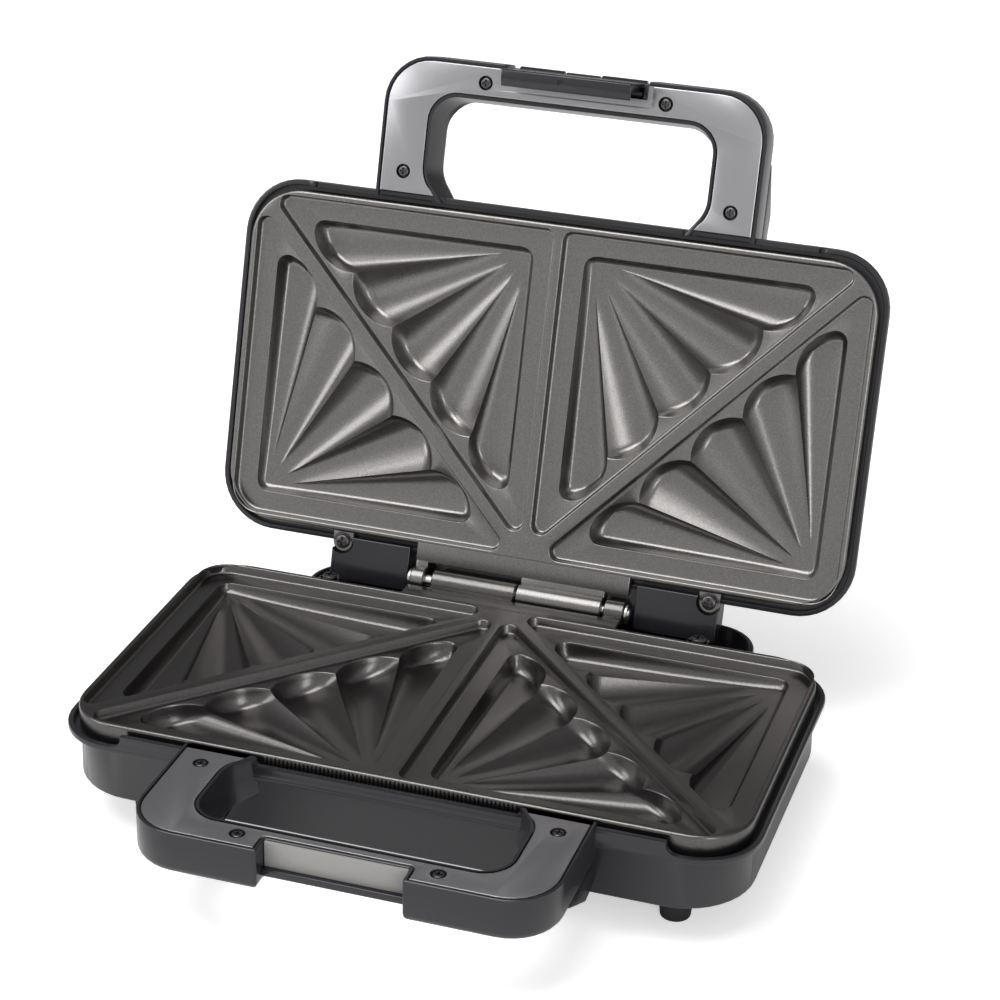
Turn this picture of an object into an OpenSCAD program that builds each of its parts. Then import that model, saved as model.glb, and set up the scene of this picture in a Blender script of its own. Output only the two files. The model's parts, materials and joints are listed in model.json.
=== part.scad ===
// Sandwich toaster: two fluted triangle plates, a hinged lid and a sprung latch.
// The pieces are drawn round the centre of the plates, with the parting plane between them at z = 0,
// +X to the right, +Y to the back and +Z up. Lid pieces are drawn closed and then swung open.

/* [Plates] */
// Width of each plate
plate_w = 270; // [255:1:285]
// Depth of each plate, front to back
plate_d = 142.2; // [134:0.2:150]
// Corner radius of each plate
plate_r = 21.5; // [16:0.5:26]
// Width of the flat rim round each plate
rim_w = 2; // [1.5:0.1:4]
// Drop from the rim to the flat border inside it
border_drop = 4; // [3:0.1:5]
// Thickness of the casting
plate_t = 3; // [2:0.1:4]
// Height of the skirt round each plate
skirt_h = 9; // [8:0.5:10]
// Thickness of the skirt
skirt_t = 2.5; // [1.5:0.1:3.5]
// Gap between the two rims with the lid closed
rim_gap = 0.3; // [0.2:0.1:1]
// Width of the ridge between the two sandwiches
centre_ridge = 2.8; // [2:0.1:5]
// Width of the ridge that cuts each sandwich in two
diagonal_ridge = 4.5; // [3:0.1:6]

/* [Pockets] */
// Width of the flat border between a recess edge and its pocket
pocket_margin = 9.3; // [7:0.1:11]
// Length of a pocket's side along the width
pocket_x = 96.5; // [85:0.5:98]
// Length of a pocket's side along the depth
pocket_y = 101.5; // [90:0.5:103]
// Number of flutes fanning out in a pocket
flutes = 5; // [3:1:6]
// How far the round end of a flute stands out past the cusps beside it
flute_bulge = 7; // [3:0.5:8]
// Depth of a pocket below the border at the ends of the flutes
pocket_deep = 8; // [6:0.5:8]
// Depth of a pocket below the border at its square corner
pocket_shallow = 3.5; // [2:0.5:5]

/* [Housings] */
// How far the lip of the housings stands out beside the plates
lip_side = 3.8; // [3.6:0.1:8]
// How far the lip of the housings stands out in front of and behind the plates
lip_front = 4.4; // [4:0.1:8]
// Corner radius of the lip
lip_r = 24; // [20:1:28]
// Height of the lip's edge
lip_t = 2.5; // [1.5:0.1:3.5]
// Distance of the side walls behind the lip's edge
side_set = 3; // [1.5:0.1:4]
// Distance of the front and rear walls behind the lip's edge
front_set = 1; // [0.5:0.1:2]
// Distance of the lid's side walls behind the lip's edge
lid_side_set = 1.4; // [0.8:0.1:1.6]
// Distance of the lid's front and rear walls behind the lip's edge
lid_front_set = 1.8; // [0.8:0.1:2]
// How far the lid's walls lean in over their height
lid_draft = 3.6; // [0:0.1:4]
// Corner radius of the walls
wall_r = 30; // [24:1:34]
// Wall thickness of the housings
wall_t = 2.2; // [1.6:0.1:3]
// Height of the upright part of the walls, from the parting plane
wall_h = 28.5; // [26:0.5:30]
// How far the crown of a housing draws in at the sides and at the front and rear
crown_set = 16; // [12:0.5:18]
// Distance from the parting plane down to the base lip's top
base_lip_drop = 7; // [6.5:0.1:8]
// Distance from the parting plane up to the lid lip's underside
lid_lip_rise = 3.5; // [3.4:0.1:5]
// Depth of the base housing below the parting plane
base_depth = 36; // [35:0.5:42]
// Height of the lid housing above the parting plane
lid_height = 44; // [42:1:54]
// Half width of the raised front wall of the base
front_wall_half = 110; // [100:1:112]
// Distance from the parting plane down to the top of the raised front wall
front_wall_drop = 1.8; // [1:0.1:3]

/* [Heel] */
// Half width of the heel behind the base
heel_half = 101.5; // [98:0.5:104]
// Distance of the heel's rear wall behind the lip
heel_out = 30; // [29:0.5:36]
// Corner radius of the heel
heel_r = 19.5; // [12:0.5:22]
// Distance from the parting plane down to the heel's rim
heel_drop = 9; // [9:0.5:12]
// Distance from the parting plane down to the floor of the hinge well
well_depth = 18; // [16:0.5:20]

/* [Handles] */
// Width of the handles
handle_w = 163; // [150:1:170]
// Distance of the handles' front edge in front of the lip
handle_out = 57.5; // [55:0.5:64]
// Corner radius of the handles
handle_r = 20; // [14:0.5:24]
// Height of each handle
handle_h = 17.5; // [16:0.5:20]
// Wall thickness of the handles
handle_wall = 2.2; // [1.8:0.1:3]
// Width of the edge left round a handle cover
cover_edge = 1.3; // [1:0.1:1.6]
// Thickness of a handle cover
cover_t = 2.2; // [1.6:0.1:3]
// Width of the finger opening
finger_w = 120; // [110:1:124]
// Width of the grip in front of the finger opening
grip_w = 15.5; // [15:0.5:18]
// Corner radius of the finger opening
finger_r = 11; // [6:0.5:14]
// Width of the finger opening where it meets the housing
finger_root_w = 104; // [96:1:112]
// Depth of the gussets under the arms below the parting plane
gusset_h = 28; // [24:0.5:30]

/* [Hinge] */
// Distance of the hinge axis behind the plates' rear edge
hinge_out = 14.3; // [14:0.1:16]
// Distance of the hinge axis below the parting plane
hinge_drop = 1; // [0.5:0.1:1.5]
// Angle from closed to open
open_angle = 106.6; // [100:0.2:108]
// Outer radius of the hinge barrels
barrel_r = 5.2; // [4.6:0.1:5.4]
// Radius of the hinge pin
pin_r = 2.5; // [2:0.1:3]
// Length of each long barrel
barrel_len = 37; // [34:0.5:37]
// Distance of the ring knuckles' inner face from the middle
ring_x = 38.3; // [38:0.1:39]
// Length of the lower plate's ring knuckle
lower_ring_len = 8.6; // [6:0.1:9]
// Length of the upper plate's ring knuckle
upper_ring_len = 5.9; // [4:0.1:6]
// Distance of the lid's hinge blocks' inner face from the middle
block_x = 50; // [49.5:0.1:54]
// Width of each hinge block
block_w = 35; // [30:0.5:36]
// Distance of the hinge blocks' rear face behind the hinge axis
block_out = 6.6; // [6:0.1:7.6]
// Height of the hinge blocks above the parting plane
block_h = 14; // [10:0.5:14.5]
// Distance of the ear screws from the middle
ear_x = 80.8; // [78:0.1:82]
// Distance of the ear screws behind the plates' rear edge
ear_out = 4.3; // [4:0.1:5]
// Radius of the round ears
ear_r = 4.5; // [4:0.1:5]

/* [Latch] */
// Width of the notch in the base handle
base_notch_w = 55.4; // [52:0.2:60]
// Width of the notch in the lid handle
lid_notch_w = 61; // [56:0.5:66]
// Depth of the notches behind the handles' front edge
notch_d = 8.5; // [8:0.1:10]
// Depth below the parting plane where the ledge starts
ledge_top = 11; // [10:0.5:13]
// Thickness of the ledge
ledge_t = 3; // [2.5:0.1:4]
// Width of the latch lever
lever_w = 54.4; // [48:0.2:54.6]
// Thickness of the latch lever
lever_t = 3.6; // [3:0.1:4]
// Length of the latch lever's hook, front to back
hook_reach = 3.3; // [2.5:0.1:4]
// Height of the hook
hook_h = 1.8; // [1.5:0.1:3]
// Height of the latch pivot above the parting plane
latch_z = 11; // [9.5:0.1:12]
// Radius of the latch pin
latch_pin_r = 1.5; // [1.2:0.1:1.6]
// Radius of the lever's pivot eye
eye_r = 3; // [2.6:0.1:3.2]

/* [Feet] */
// Distance of the feet's bottoms below the parting plane
floor_drop = 48; // [48:1:56]
// Radius of a foot at the floor
foot_r = 6.15; // [5:0.05:8]
// Distance of the front feet inside the lip's ends
foot_in = 31.6; // [31:0.2:45]
// Distance of the front feet behind the lip's front edge
front_foot_in = 23.9; // [23:0.1:30]
// Distance of the rear feet inside the heel's sides and its rear wall
rear_foot_in = 17.5; // [15:0.5:24]

/* [Heating] */
// Radius of the tubular heating elements
element_r = 3.25; // [3:0.05:4]
// Radius of the bend in an element
element_bend = 32; // [26:1:36]
// Length of an element's straight legs
element_leg = 168; // [150:1:172]
// Thickness of the reflector trays
tray_t = 0.8; // [0.6:0.1:1.2]
// Distance of a reflector tray's sides inside the plate's edge
tray_in = 8.5; // [8:0.5:14]
// Radius of the cord's hole through the gland
gland_bore_r = 3.6; // [3:0.1:4]

/* [Clearances] */
// Gap round covers and inset plates
fit_gap = 0.2; // [0.1:0.05:0.4]
// Radial clearance of a pin in its bore
run_gap = 0.05; // [0.02:0.01:0.09]
// Gap between moving pieces that pass or meet
move_gap = 0.4; // [0.3:0.1:0.6]

/* [Hidden] */
$fn = 48;
eps = 0.01;

lip_w = plate_w + 2 * lip_side;
lip_d = plate_d + 2 * lip_front;
wall_d = lip_d - 2 * front_set;
heel_y = lip_d / 2 + heel_out;
handle_y = lip_d / 2 + handle_out;
finger_y = handle_y - grip_w;
hinge_y = plate_d / 2 + hinge_out;
hinge_z = -hinge_drop;
block_y = hinge_y + block_out;
rim_z = rim_gap / 2;
notch_y = handle_y - notch_d;
lever_set = 1.3;
latch_y = handle_y - lever_t / 2 - lever_set;
lever_in = latch_y - lever_t / 2;
bump_z = rim_z + border_drop + pocket_deep + plate_t;
element_z = bump_z + element_r;
tray_z = element_z + element_r;
tray_w = plate_w - 2 * tray_in;
tray_d = plate_d - 2 * tray_in;
tray_h = 2 * element_r + tray_t - 2 * fit_gap;
front_y = -handle_y;
plate_gap = 0.5;
rear_y = hinge_y - (hinge_y + lip_d / 2 - lid_front_set - lid_draft - crown_set) * cos(open_angle)
    + (lid_height + hinge_drop) * sin(open_angle);
middle_y = (front_y + rear_y) / 2;

black = [0.05, 0.05, 0.055];
cast_grey = [0.16, 0.16, 0.17];
cover_grey = [0.45, 0.45, 0.47];
steel = [0.7, 0.7, 0.72];

// ---- outlines ----

function unit(v) = v / norm(v);

// The points of one rounded corner at p, between its neighbours a and b
function corner(p, a, b, r, n) =
    let (u = unit(a - p))
    let (w = unit(b - p))
    let (half = acos(u * w) / 2)
    let (c = p + unit(u + w) * r / sin(half))
    let (s = p + u * r / tan(half) - c)
    let (e = p + w * r / tan(half) - c)
    let (a0 = atan2(s.y, s.x))
    let (turn = (atan2(e.y, e.x) - a0 + 540) % 360 - 180)
    [for (i = [0:n]) c + r * [cos(a0 + turn * i / n), sin(a0 + turn * i / n)]];

// A closed outline with each corner rounded by its own radius
function rounded(pts, radii, n = 6) =
    let (m = len(pts))
    [for (i = [0:m - 1]) each corner(pts[i], pts[(i + m - 1) % m], pts[(i + 1) % m], radii[i], n)];

function box_points(w, d) = [[w / 2, d / 2], [-w / 2, d / 2], [-w / 2, -d / 2], [w / 2, -d / 2]];

module slab(w, d, r, z0, z1) {
    translate([0, 0, z0])
        linear_extrude(z1 - z0)
            polygon(rounded(box_points(w, d), [r, r, r, r], 8));
}

module both_sides() {
    children();
    mirror([1, 0, 0]) children();
}

// ---- placing ----

module placed() {
    translate([0, -middle_y, floor_drop]) children();
}

module opened() {
    placed()
        translate([0, hinge_y, hinge_z])
            rotate([-open_angle, 0, 0])
                translate([0, -hinge_y, -hinge_z])
                    children();
}

// Turns a piece drawn for the base over for the lid
module turned_over() {
    mirror([0, 0, 1]) children();
}

// ---- fasteners ----

// A screw with a cross recess; its head's underside is at the origin and its head points up
module screw(head_r, head_h, shank_r, shank_len) {
    difference() {
        union() {
            cylinder(r = head_r, h = head_h);
            translate([0, 0, -shank_len]) cylinder(r = shank_r, h = shank_len + eps);
        }
        for (turn = [0, 90])
            rotate([0, 0, turn])
                translate([0, 0, head_h])
                    cube([head_r * 1.3, head_r * 0.28, head_h * 1.1], center = true);
    }
}

handle_screw_at = [[70.1, -lip_d / 2 - 9.1], [38.3, -handle_y + 8.4]];
handle_head_r = 2.2;
handle_head_h = 1.3;
handle_shank_r = 1.4;
handle_shank_len = 9;
handle_boss_r = 3.6;
ear_head_r = 3;
ear_head_h = 1.6;
ear_shank_r = 1.5;
ear_shank_len = 8;
ear_y = plate_d / 2 + ear_out;
ear_top = rim_z + ear_head_h + fit_gap;

// ---- plates ----

recess_x0 = centre_ridge / 2;
recess_x1 = plate_w / 2 - rim_w;
recess_y = plate_d / 2 - rim_w;
recess_h = [2 * recess_y, recess_x1 - recess_x0];
ridge_x = diagonal_ridge / 2 * norm(recess_h) / recess_h.x;
ridge_y = diagonal_ridge / 2 * norm(recess_h) / recess_h.y;
tip_r = 4.5;

module outer_recess() {
    polygon(rounded([
        [recess_x1, recess_y],
        [recess_x0 + ridge_x, recess_y],
        [recess_x1, -recess_y + ridge_y]
    ], [plate_r - rim_w - 6, tip_r, tip_r]));
}

module inner_recess() {
    polygon(rounded([
        [recess_x0, -recess_y],
        [recess_x1 - ridge_x, -recess_y],
        [recess_x0, recess_y - ridge_y]
    ], [tip_r, tip_r, tip_r]));
}

// The pocket is a fan of flutes: s counts the flutes along the lobed side, t goes from the square
// corner to the lobes
flute_steps = 4;
fan_rows = [0.05, 0.2, 0.5, 0.8, 0.93, 1];
row_depth = [0.7, 1, 1, 1, 0.96, 0.4];
fan_cols = flutes * flute_steps;

function lobe_point(s) =
    let (f = 2 * (s - floor(s)) - 1)
    let (out = unit([pocket_y, pocket_x]) * flute_bulge * (1 - f * f))
    [pocket_x * (1 - s / flutes), pocket_y * s / flutes] + out;

function pocket_depth(s, j) =
    let (f = 2 * (s - floor(s)) - 1)
    let (t = fan_rows[j])
    row_depth[j] * (pocket_shallow + (pocket_deep - pocket_shallow) * t) * (1 - 0.75 * t * t * f * f);

module pocket() {
    rows = len(fan_rows);
    wide = fan_cols + 1;
    lift = rows * wide;
    grid = [for (j = [0:rows - 1]) for (i = [0:fan_cols]) [lobe_point(i / flute_steps) * fan_rows[j], i, j]];
    floor_pts = [for (g = grid) [g[0].x, g[0].y, -pocket_depth(g[1] / flute_steps, g[2])]];
    top_pts = [for (g = grid) [g[0].x, g[0].y, 1]];
    rim = concat(
        [for (i = [0:fan_cols]) i],
        [for (j = [1:rows - 1]) j * wide + fan_cols],
        [for (i = [1:fan_cols]) (rows - 1) * wide + fan_cols - i],
        [for (j = [1:rows - 2]) (rows - 1 - j) * wide]
    );
    edge = len(rim);
    cells = [for (j = [0:rows - 2]) for (i = [0:fan_cols - 1]) j * wide + i];
    faces = concat(
        [for (k = cells) [k, k + wide, k + 1]],
        [for (k = cells) [k + 1, k + wide, k + wide + 1]],
        [for (k = cells) [lift + k, lift + k + 1, lift + k + wide]],
        [for (k = cells) [lift + k + 1, lift + k + wide + 1, lift + k + wide]],
        [for (k = [0:edge - 1]) [rim[k], rim[(k + 1) % edge], lift + rim[(k + 1) % edge], lift + rim[k]]]
    );
    polyhedron(concat(floor_pts, top_pts), faces, convexity = 6);
}

// The pockets' places in the right half: the outer one points to the rear corner, the inner one to
// the middle of the front
module outer_place() {
    translate([recess_x1 - pocket_margin, recess_y - pocket_margin]) rotate([0, 0, 180]) children();
}

module inner_place() {
    translate([recess_x0 + pocket_margin, -recess_y + pocket_margin]) children();
}

module bump() {
    w = plate_t * 0.7;
    reach = flute_bulge + w;
    slope = unit([pocket_y, pocket_x]);
    in_x = pocket_x + reach / slope.x;
    in_y = pocket_y + reach / slope.y;
    cut = 0.09;
    polygon([
        [-w, -w],
        [pocket_x + w, -w],
        [in_x * (1 - cut), in_y * cut],
        [in_x * cut, in_y * (1 - cut)],
        [-w, pocket_y + w]
    ]);
}

boss_y = 18;
boss_r = 4;

// The lower plate without its hinge, with its rim at z = -rim_z
module plate_casting() {
    top = -rim_z;
    border = top - border_drop;
    difference() {
        union() {
            slab(plate_w, plate_d, plate_r, border - plate_t, top);
            difference() {
                slab(plate_w, plate_d, plate_r, top - skirt_h, border);
                slab(plate_w - 2 * skirt_t, plate_d - 2 * skirt_t, plate_r - skirt_t,
                    top - skirt_h - 1, border);
            }
            translate([0, 0, -bump_z])
                linear_extrude(bump_z + border - eps)
                    both_sides() {
                        outer_place() bump();
                        inner_place() bump();
                    }
            for (y = [-boss_y, boss_y])
                translate([0, y, -tray_z]) cylinder(r = boss_r, h = tray_z + border - 1);
            both_sides()
                translate([ear_x, ear_y, -ear_top - plate_t]) cylinder(r = ear_r, h = plate_t);
            both_sides()
                translate([ear_x - ear_r, plate_d / 2 - 1, -ear_top - plate_t])
                    cube([2 * ear_r, ear_y - plate_d / 2 + 1, plate_t]);
        }
        translate([0, 0, border])
            linear_extrude(border_drop + 1)
                both_sides() {
                    outer_recess();
                    inner_recess();
                }
        both_sides() {
            translate([0, 0, border]) outer_place() pocket();
            translate([0, 0, border]) inner_place() pocket();
            translate([ear_x, ear_y, -ear_top - plate_t - 1])
                cylinder(r = ear_shank_r + fit_gap, h = plate_t + 2);
        }
        for (y = [-boss_y, boss_y])
            translate([0, y, -tray_z - 1]) cylinder(r = ear_shank_r, h = ear_shank_len + 1);
    }
}

tab_end = hinge_y - barrel_r - 2;

// One hinge barrel, with the foot that joins it to the plate; up is 1 for the upper plate
module barrel(x0, len, up) {
    foot_z = up > 0 ? rim_z : -rim_z - plate_t;
    translate([x0, hinge_y, hinge_z]) rotate([0, 90, 0]) cylinder(r = barrel_r, h = len);
    translate([x0, tab_end - 1, foot_z]) cube([len, hinge_y - tab_end + 1, plate_t]);
}

module barrel_bore() {
    translate([-block_x, hinge_y, hinge_z])
        rotate([0, 90, 0])
            cylinder(r = pin_r + run_gap, h = 2 * block_x);
}

tab_half = ring_x + lower_ring_len;

module plate_tab(up) {
    translate([-tab_half, plate_d / 2 - 1, up > 0 ? rim_z : -rim_z - plate_t])
        cube([2 * tab_half, tab_end - plate_d / 2 + 1, plate_t]);
}

module lower_plate() {
    color(cast_grey)
        placed()
            difference() {
                union() {
                    plate_casting();
                    plate_tab(-1);
                    barrel(-barrel_len - 0.5, barrel_len, -1);
                    barrel(ring_x, lower_ring_len, -1);
                }
                barrel_bore();
            }
}

module upper_plate() {
    color(cast_grey)
        opened()
            difference() {
                union() {
                    turned_over() plate_casting();
                    plate_tab(1);
                    barrel(0, barrel_len, 1);
                    barrel(-ring_x - lower_ring_len, upper_ring_len, 1);
                }
                barrel_bore();
            }
}

module hinge_pin() {
    color(steel)
        placed()
            translate([-block_x + 1, hinge_y, hinge_z])
                rotate([0, 90, 0])
                    cylinder(r = pin_r, h = 2 * block_x - 2);
}

module hinge_pin_clips() {
    clip_t = 0.8;
    color(steel)
        placed()
            both_sides()
                translate([tab_half + 0.3, hinge_y, hinge_z])
                    rotate([0, 90, 0])
                        difference() {
                            cylinder(r = pin_r + 1.6, h = clip_t);
                            translate([0, 0, -1]) cylinder(r = pin_r, h = clip_t + 2);
                        }
}

// ---- heating ----

terminal_len = 9;
terminal_x = element_leg / 2 - element_r - 1;

// A U-shaped tube under the plate, with its ends standing down through the tray
module element() {
    end_x = element_leg / 2;
    for (y = [-element_bend, element_bend])
        translate([-element_leg / 2, y, -element_z])
            rotate([0, 90, 0])
                cylinder(r = element_r, h = element_leg);
    translate([-end_x, 0, -element_z])
        rotate([0, 0, 90])
            rotate_extrude(angle = 180)
                translate([element_bend, 0])
                    circle(r = element_r);
    for (y = [-element_bend, element_bend])
        translate([terminal_x, y, -element_z - terminal_len]) cylinder(r = 1.6, h = terminal_len);
}

module reflector() {
    difference() {
        slab(tray_w, tray_d, 14, -tray_z - tray_t, -tray_z - tray_t + tray_h);
        slab(tray_w - 2 * tray_t, tray_d - 2 * tray_t, 14 - tray_t, -tray_z, -tray_z + tray_h);
        for (y = [-element_bend, element_bend])
            translate([terminal_x, y, -tray_z - tray_t - 1])
                cylinder(r = 4, h = tray_t + 2);
        for (y = [-boss_y, boss_y])
            translate([0, y, -tray_z - tray_t - 1])
                cylinder(r = ear_shank_r + fit_gap, h = tray_t + 2);
    }
}

module reflector_screws() {
    for (y = [-boss_y, boss_y])
        translate([0, y, -tray_z - tray_t])
            rotate([180, 0, 0])
                screw(ear_head_r, ear_head_h, ear_shank_r - run_gap, ear_shank_len - 1);
}

// The two screws through the plate's round ears; they point down, as on the lower plate
module ear_screws() {
    both_sides()
        translate([ear_x, ear_y, -ear_top])
            screw(ear_head_r, ear_head_h, ear_shank_r, ear_shank_len);
}

module ear_screw_holes() {
    both_sides()
        translate([ear_x, ear_y, -ear_top - ear_shank_len - 0.5])
            cylinder(r = ear_shank_r + run_gap, h = ear_shank_len + 1);
}

module lower_element() {
    color(steel) placed() element();
}

module upper_element() {
    color(steel) opened() turned_over() element();
}

module lower_reflector() {
    color(steel) placed() reflector();
}

module upper_reflector() {
    color(steel) opened() turned_over() reflector();
}

// ---- handles ----

// Outline of a handle, drawn in from its edge by some amount
module handle_outline(in) {
    x = handle_w / 2 - in;
    front = -handle_y + in;
    root = -lip_d / 2 + front_set;
    r = handle_r - in;
    polygon(rounded([[x, root], [-x, root], [-x, front], [x, front]], [eps, eps, r, r]));
}

// Outline of the finger opening, grown by some amount
module finger_outline(out) {
    x = finger_w / 2 + out;
    root_x = finger_root_w / 2 + out;
    root_y = -lip_d / 2;
    front = -finger_y - out;
    r = finger_r + out;
    turn_y = root_y - 9;
    turn_r = 12;
    polygon(rounded([
        [root_x, root_y + 3], [-root_x, root_y + 3], [-x, turn_y], [-x, front], [x, front], [x, turn_y]
    ], [eps, eps, turn_r, r, r, turn_r]));
}

// Outline of the latch notch in a handle's front edge, grown by some amount
module notch_outline(w, d, out) {
    translate([-w / 2 - out, -handle_y - 1]) square([w + 2 * out, d + 1 + out]);
}

// Plan of a handle between its edges, drawn in from all of them by some amount
module handle_plan(w, d, in, root_in) {
    difference() {
        handle_outline(in);
        finger_outline(in);
        notch_outline(w, d, in);
        translate([-handle_w, -lip_d / 2 + front_set - root_in]) square([2 * handle_w, lip_d]);
    }
}

module at_handle_screws() {
    both_sides()
        for (at = handle_screw_at)
            translate([at.x, at.y, -rim_z])
                children();
}

// The triangular stiffener under an arm, between two distances from the middle
module gusset(x0, x1) {
    root = -lip_d / 2;
    translate([x0, 0, 0])
        rotate([90, 0, 90])
            linear_extrude(x1 - x0)
                polygon([
                    [root + 1.5, -handle_h + 1], [root + 1.5, -gusset_h + 2],
                    [root - 8.5, -gusset_h], [root - 29.5, -handle_h], [root - 29.5, -handle_h + 1]
                ]);
}

// Tray of a handle below the parting plane, with its notch, its screw posts and a rebate for the cover
module handle_tray(w, d) {
    difference() {
        union() {
            translate([0, 0, -handle_h]) linear_extrude(handle_h - rim_z) handle_plan(w, d, 0, 0);
            both_sides() gusset(finger_w / 2, handle_w / 2);
        }
        translate([0, 0, -handle_h + handle_wall])
            linear_extrude(handle_h)
                handle_plan(w, d, handle_wall, handle_wall);
        translate([0, 0, -rim_z - cover_t])
            linear_extrude(handle_h)
                handle_plan(w, d, cover_edge, cover_edge);
    }
    difference() {
        at_handle_screws()
            translate([0, 0, rim_z - handle_h + 1])
                cylinder(r = handle_boss_r, h = handle_h - 1 - cover_t - rim_z);
        at_handle_screws()
            translate([0, 0, -cover_t - handle_shank_len])
                cylinder(r = handle_shank_r + run_gap, h = handle_shank_len + 1);
    }
}

module handle_cover(w, d) {
    difference() {
        translate([0, 0, -rim_z - cover_t])
            linear_extrude(cover_t)
                handle_plan(w, d, cover_edge + fit_gap, cover_edge + fit_gap);
        at_handle_screws() {
            translate([0, 0, -handle_head_h]) cylinder(r = handle_head_r + 0.85, h = handle_head_h + 1);
            translate([0, 0, -cover_t - 1]) cylinder(r = handle_shank_r + fit_gap, h = cover_t + 2);
        }
    }
}

module handle_screws() {
    at_handle_screws()
        translate([0, 0, -handle_head_h])
            screw(handle_head_r, handle_head_h - 0.05, handle_shank_r, handle_shank_len - 2);
}

module base_handle_cover() {
    color(cover_grey) placed() handle_cover(base_notch_w, notch_d);
}

module lid_handle_cover() {
    color(cover_grey) opened() turned_over() handle_cover(lid_notch_w, notch_d);
}

module base_handle_screws() {
    color(steel) placed() handle_screws();
}

module lid_handle_screws() {
    color(steel) opened() turned_over() handle_screws();
}

// ---- housings ----

// The solid within one housing's walls and crown, drawn in from its outside by some amount
module shell_core(side, front, draft, top_z, depth, mid_in, in) {
    w = lip_w - 2 * side - 2 * in;
    d = lip_d - 2 * front - 2 * in;
    low_w = w - 2 * draft;
    low_d = d - 2 * draft;
    mid_z = -wall_h - (depth - wall_h) * 0.6;
    mid = 2 * mid_in * crown_set;
    hull() {
        slab(w, d, wall_r - in, -top_z - 0.5, -top_z);
        slab(low_w, low_d, wall_r - in, -wall_h, -wall_h + 0.5);
    }
    hull() {
        slab(low_w, low_d, wall_r - in, -wall_h, -wall_h + 0.5);
        slab(low_w - mid, low_d - mid, wall_r - 3 - in, mid_z, mid_z + 0.5);
        slab(low_w - 2 * crown_set, low_d - 2 * crown_set, wall_r - 6 - in, -depth + in, -depth + in + 0.5);
    }
}

// Shell of one housing below the parting plane: lip, walls and crown
module shell(lip_z, depth, side, front, draft, mid_in) {
    lip_low = lip_z + lip_t;
    seat = rim_z + skirt_h;
    difference() {
        union() {
            slab(lip_w, lip_d, lip_r, -lip_low, -lip_z);
            shell_core(side, front, draft, lip_low, depth, mid_in, 0);
        }
        slab(lip_w - 2 * wall_t, lip_d - 2 * wall_t, lip_r - wall_t, -lip_low + 0.6, 1);
        slab(plate_w + 2 * plate_gap, plate_d + 2 * plate_gap, plate_r + plate_gap, -seat, 1);
        shell_core(side, front, draft, seat - 1, depth, mid_in, wall_t);
    }
}

module heel_outline(in) {
    x = heel_half - in;
    back = heel_y - in;
    polygon(rounded([[x, 60], [x, back], [-x, back], [-x, 60]], [eps, heel_r - in, heel_r - in, eps]));
}

bottom_cover_w = lip_w - 91.6;
bottom_cover_d = lip_d - 43;
bottom_cover_r = 18;
bottom_cover_t = 1.2;
shoulder = 5;
bottom_screw_at = [bottom_cover_w / 2 - 23, bottom_cover_d / 2 - 2.5];
stem_r = 3;
gland_x = -60;
gland_z = -28;
gland_r = 5;

module at_bottom_screws() {
    for (x = [-1, 1])
        for (y = [-1, 1])
            translate([x * bottom_screw_at.x, y * bottom_screw_at.y, -base_depth])
                children();
}

module at_feet() {
    both_sides() {
        translate([lip_w / 2 - foot_in, front_foot_in - lip_d / 2, -base_depth]) children();
        translate([heel_half - rear_foot_in, heel_y - rear_foot_in, -base_depth]) children();
    }
}

// The posts that the ear screws run into, outside the rear wall
module ear_posts() {
    depth = ear_shank_len + 1;
    both_sides()
        translate([ear_x, ear_y, -ear_top - plate_t - depth])
            cylinder(r = ear_r - 0.5, h = depth);
}

module heel_slice(z0, z1, from_y, in) {
    translate([0, 0, z0])
        linear_extrude(z1 - z0)
            intersection() {
                heel_outline(in);
                translate([-heel_half, from_y]) square([2 * heel_half, heel_y]);
            }
}

module heel_block() {
    heel_slice(-wall_h, -heel_drop, wall_d / 2 - wall_t, 0);
    heel_slice(-base_depth, -wall_h, wall_d / 2 - crown_set - 3, 0);
}

// The open well that the lid's hinge blocks swing down into, and the room for the terminals below it
module heel_hollows() {
    well_y = wall_d / 2 + wall_t;
    heel_slice(-well_depth, 0, well_y, wall_t);
    duct_z = -base_depth + wall_t + 9;
    heel_slice(duct_z - eps, -well_depth - wall_t, well_y, wall_t);
    heel_slice(-base_depth + wall_t, duct_z, wall_d / 2 - crown_set - 6, wall_t);
}

module raised_front(lip_z) {
    translate([-front_wall_half, -lip_d / 2 + 0.3, -lip_z - lip_t])
        cube([2 * front_wall_half, wall_t, lip_z + lip_t - front_wall_drop]);
}

// The ledge that the latch hooks under
module ledge() {
    front = lever_in - fit_gap;
    translate([-base_notch_w / 2, -front, -ledge_top - ledge_t])
        cube([base_notch_w, front - notch_y + 1, ledge_t]);
}

module bottom_openings() {
    opening_w = bottom_cover_w - 2 * shoulder;
    opening_d = bottom_cover_d - 2 * shoulder;
    slab(opening_w, opening_d, bottom_cover_r - shoulder, -base_depth - 1, -base_depth + wall_t + 1);
    slab(bottom_cover_w, bottom_cover_d, bottom_cover_r, -base_depth - 1, -base_depth + bottom_cover_t);
    at_bottom_screws() cylinder(r = ear_shank_r + run_gap, h = 9);
    at_feet() translate([0, 0, -1]) cylinder(r = stem_r + run_gap, h = wall_t + 2);
    translate([gland_x, heel_y - 2 * wall_t, gland_z])
        rotate([-90, 0, 0])
            cylinder(r = gland_r + run_gap, h = 3 * wall_t);
}

module base_housing() {
    color(black)
        placed()
            difference() {
                union() {
                    difference() {
                        union() {
                            shell(base_lip_drop, base_depth, side_set, front_set, 0, 0.6);
                            heel_block();
                            raised_front(base_lip_drop);
                        }
                        heel_hollows();
                    }
                    handle_tray(base_notch_w, notch_d);
                    ledge();
                    ear_posts();
                    at_bottom_screws() translate([0, 0, wall_t - 0.5]) cylinder(r = 3.5, h = 8.5);
                }
                bottom_openings();
                ear_screw_holes();
            }
}

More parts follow.
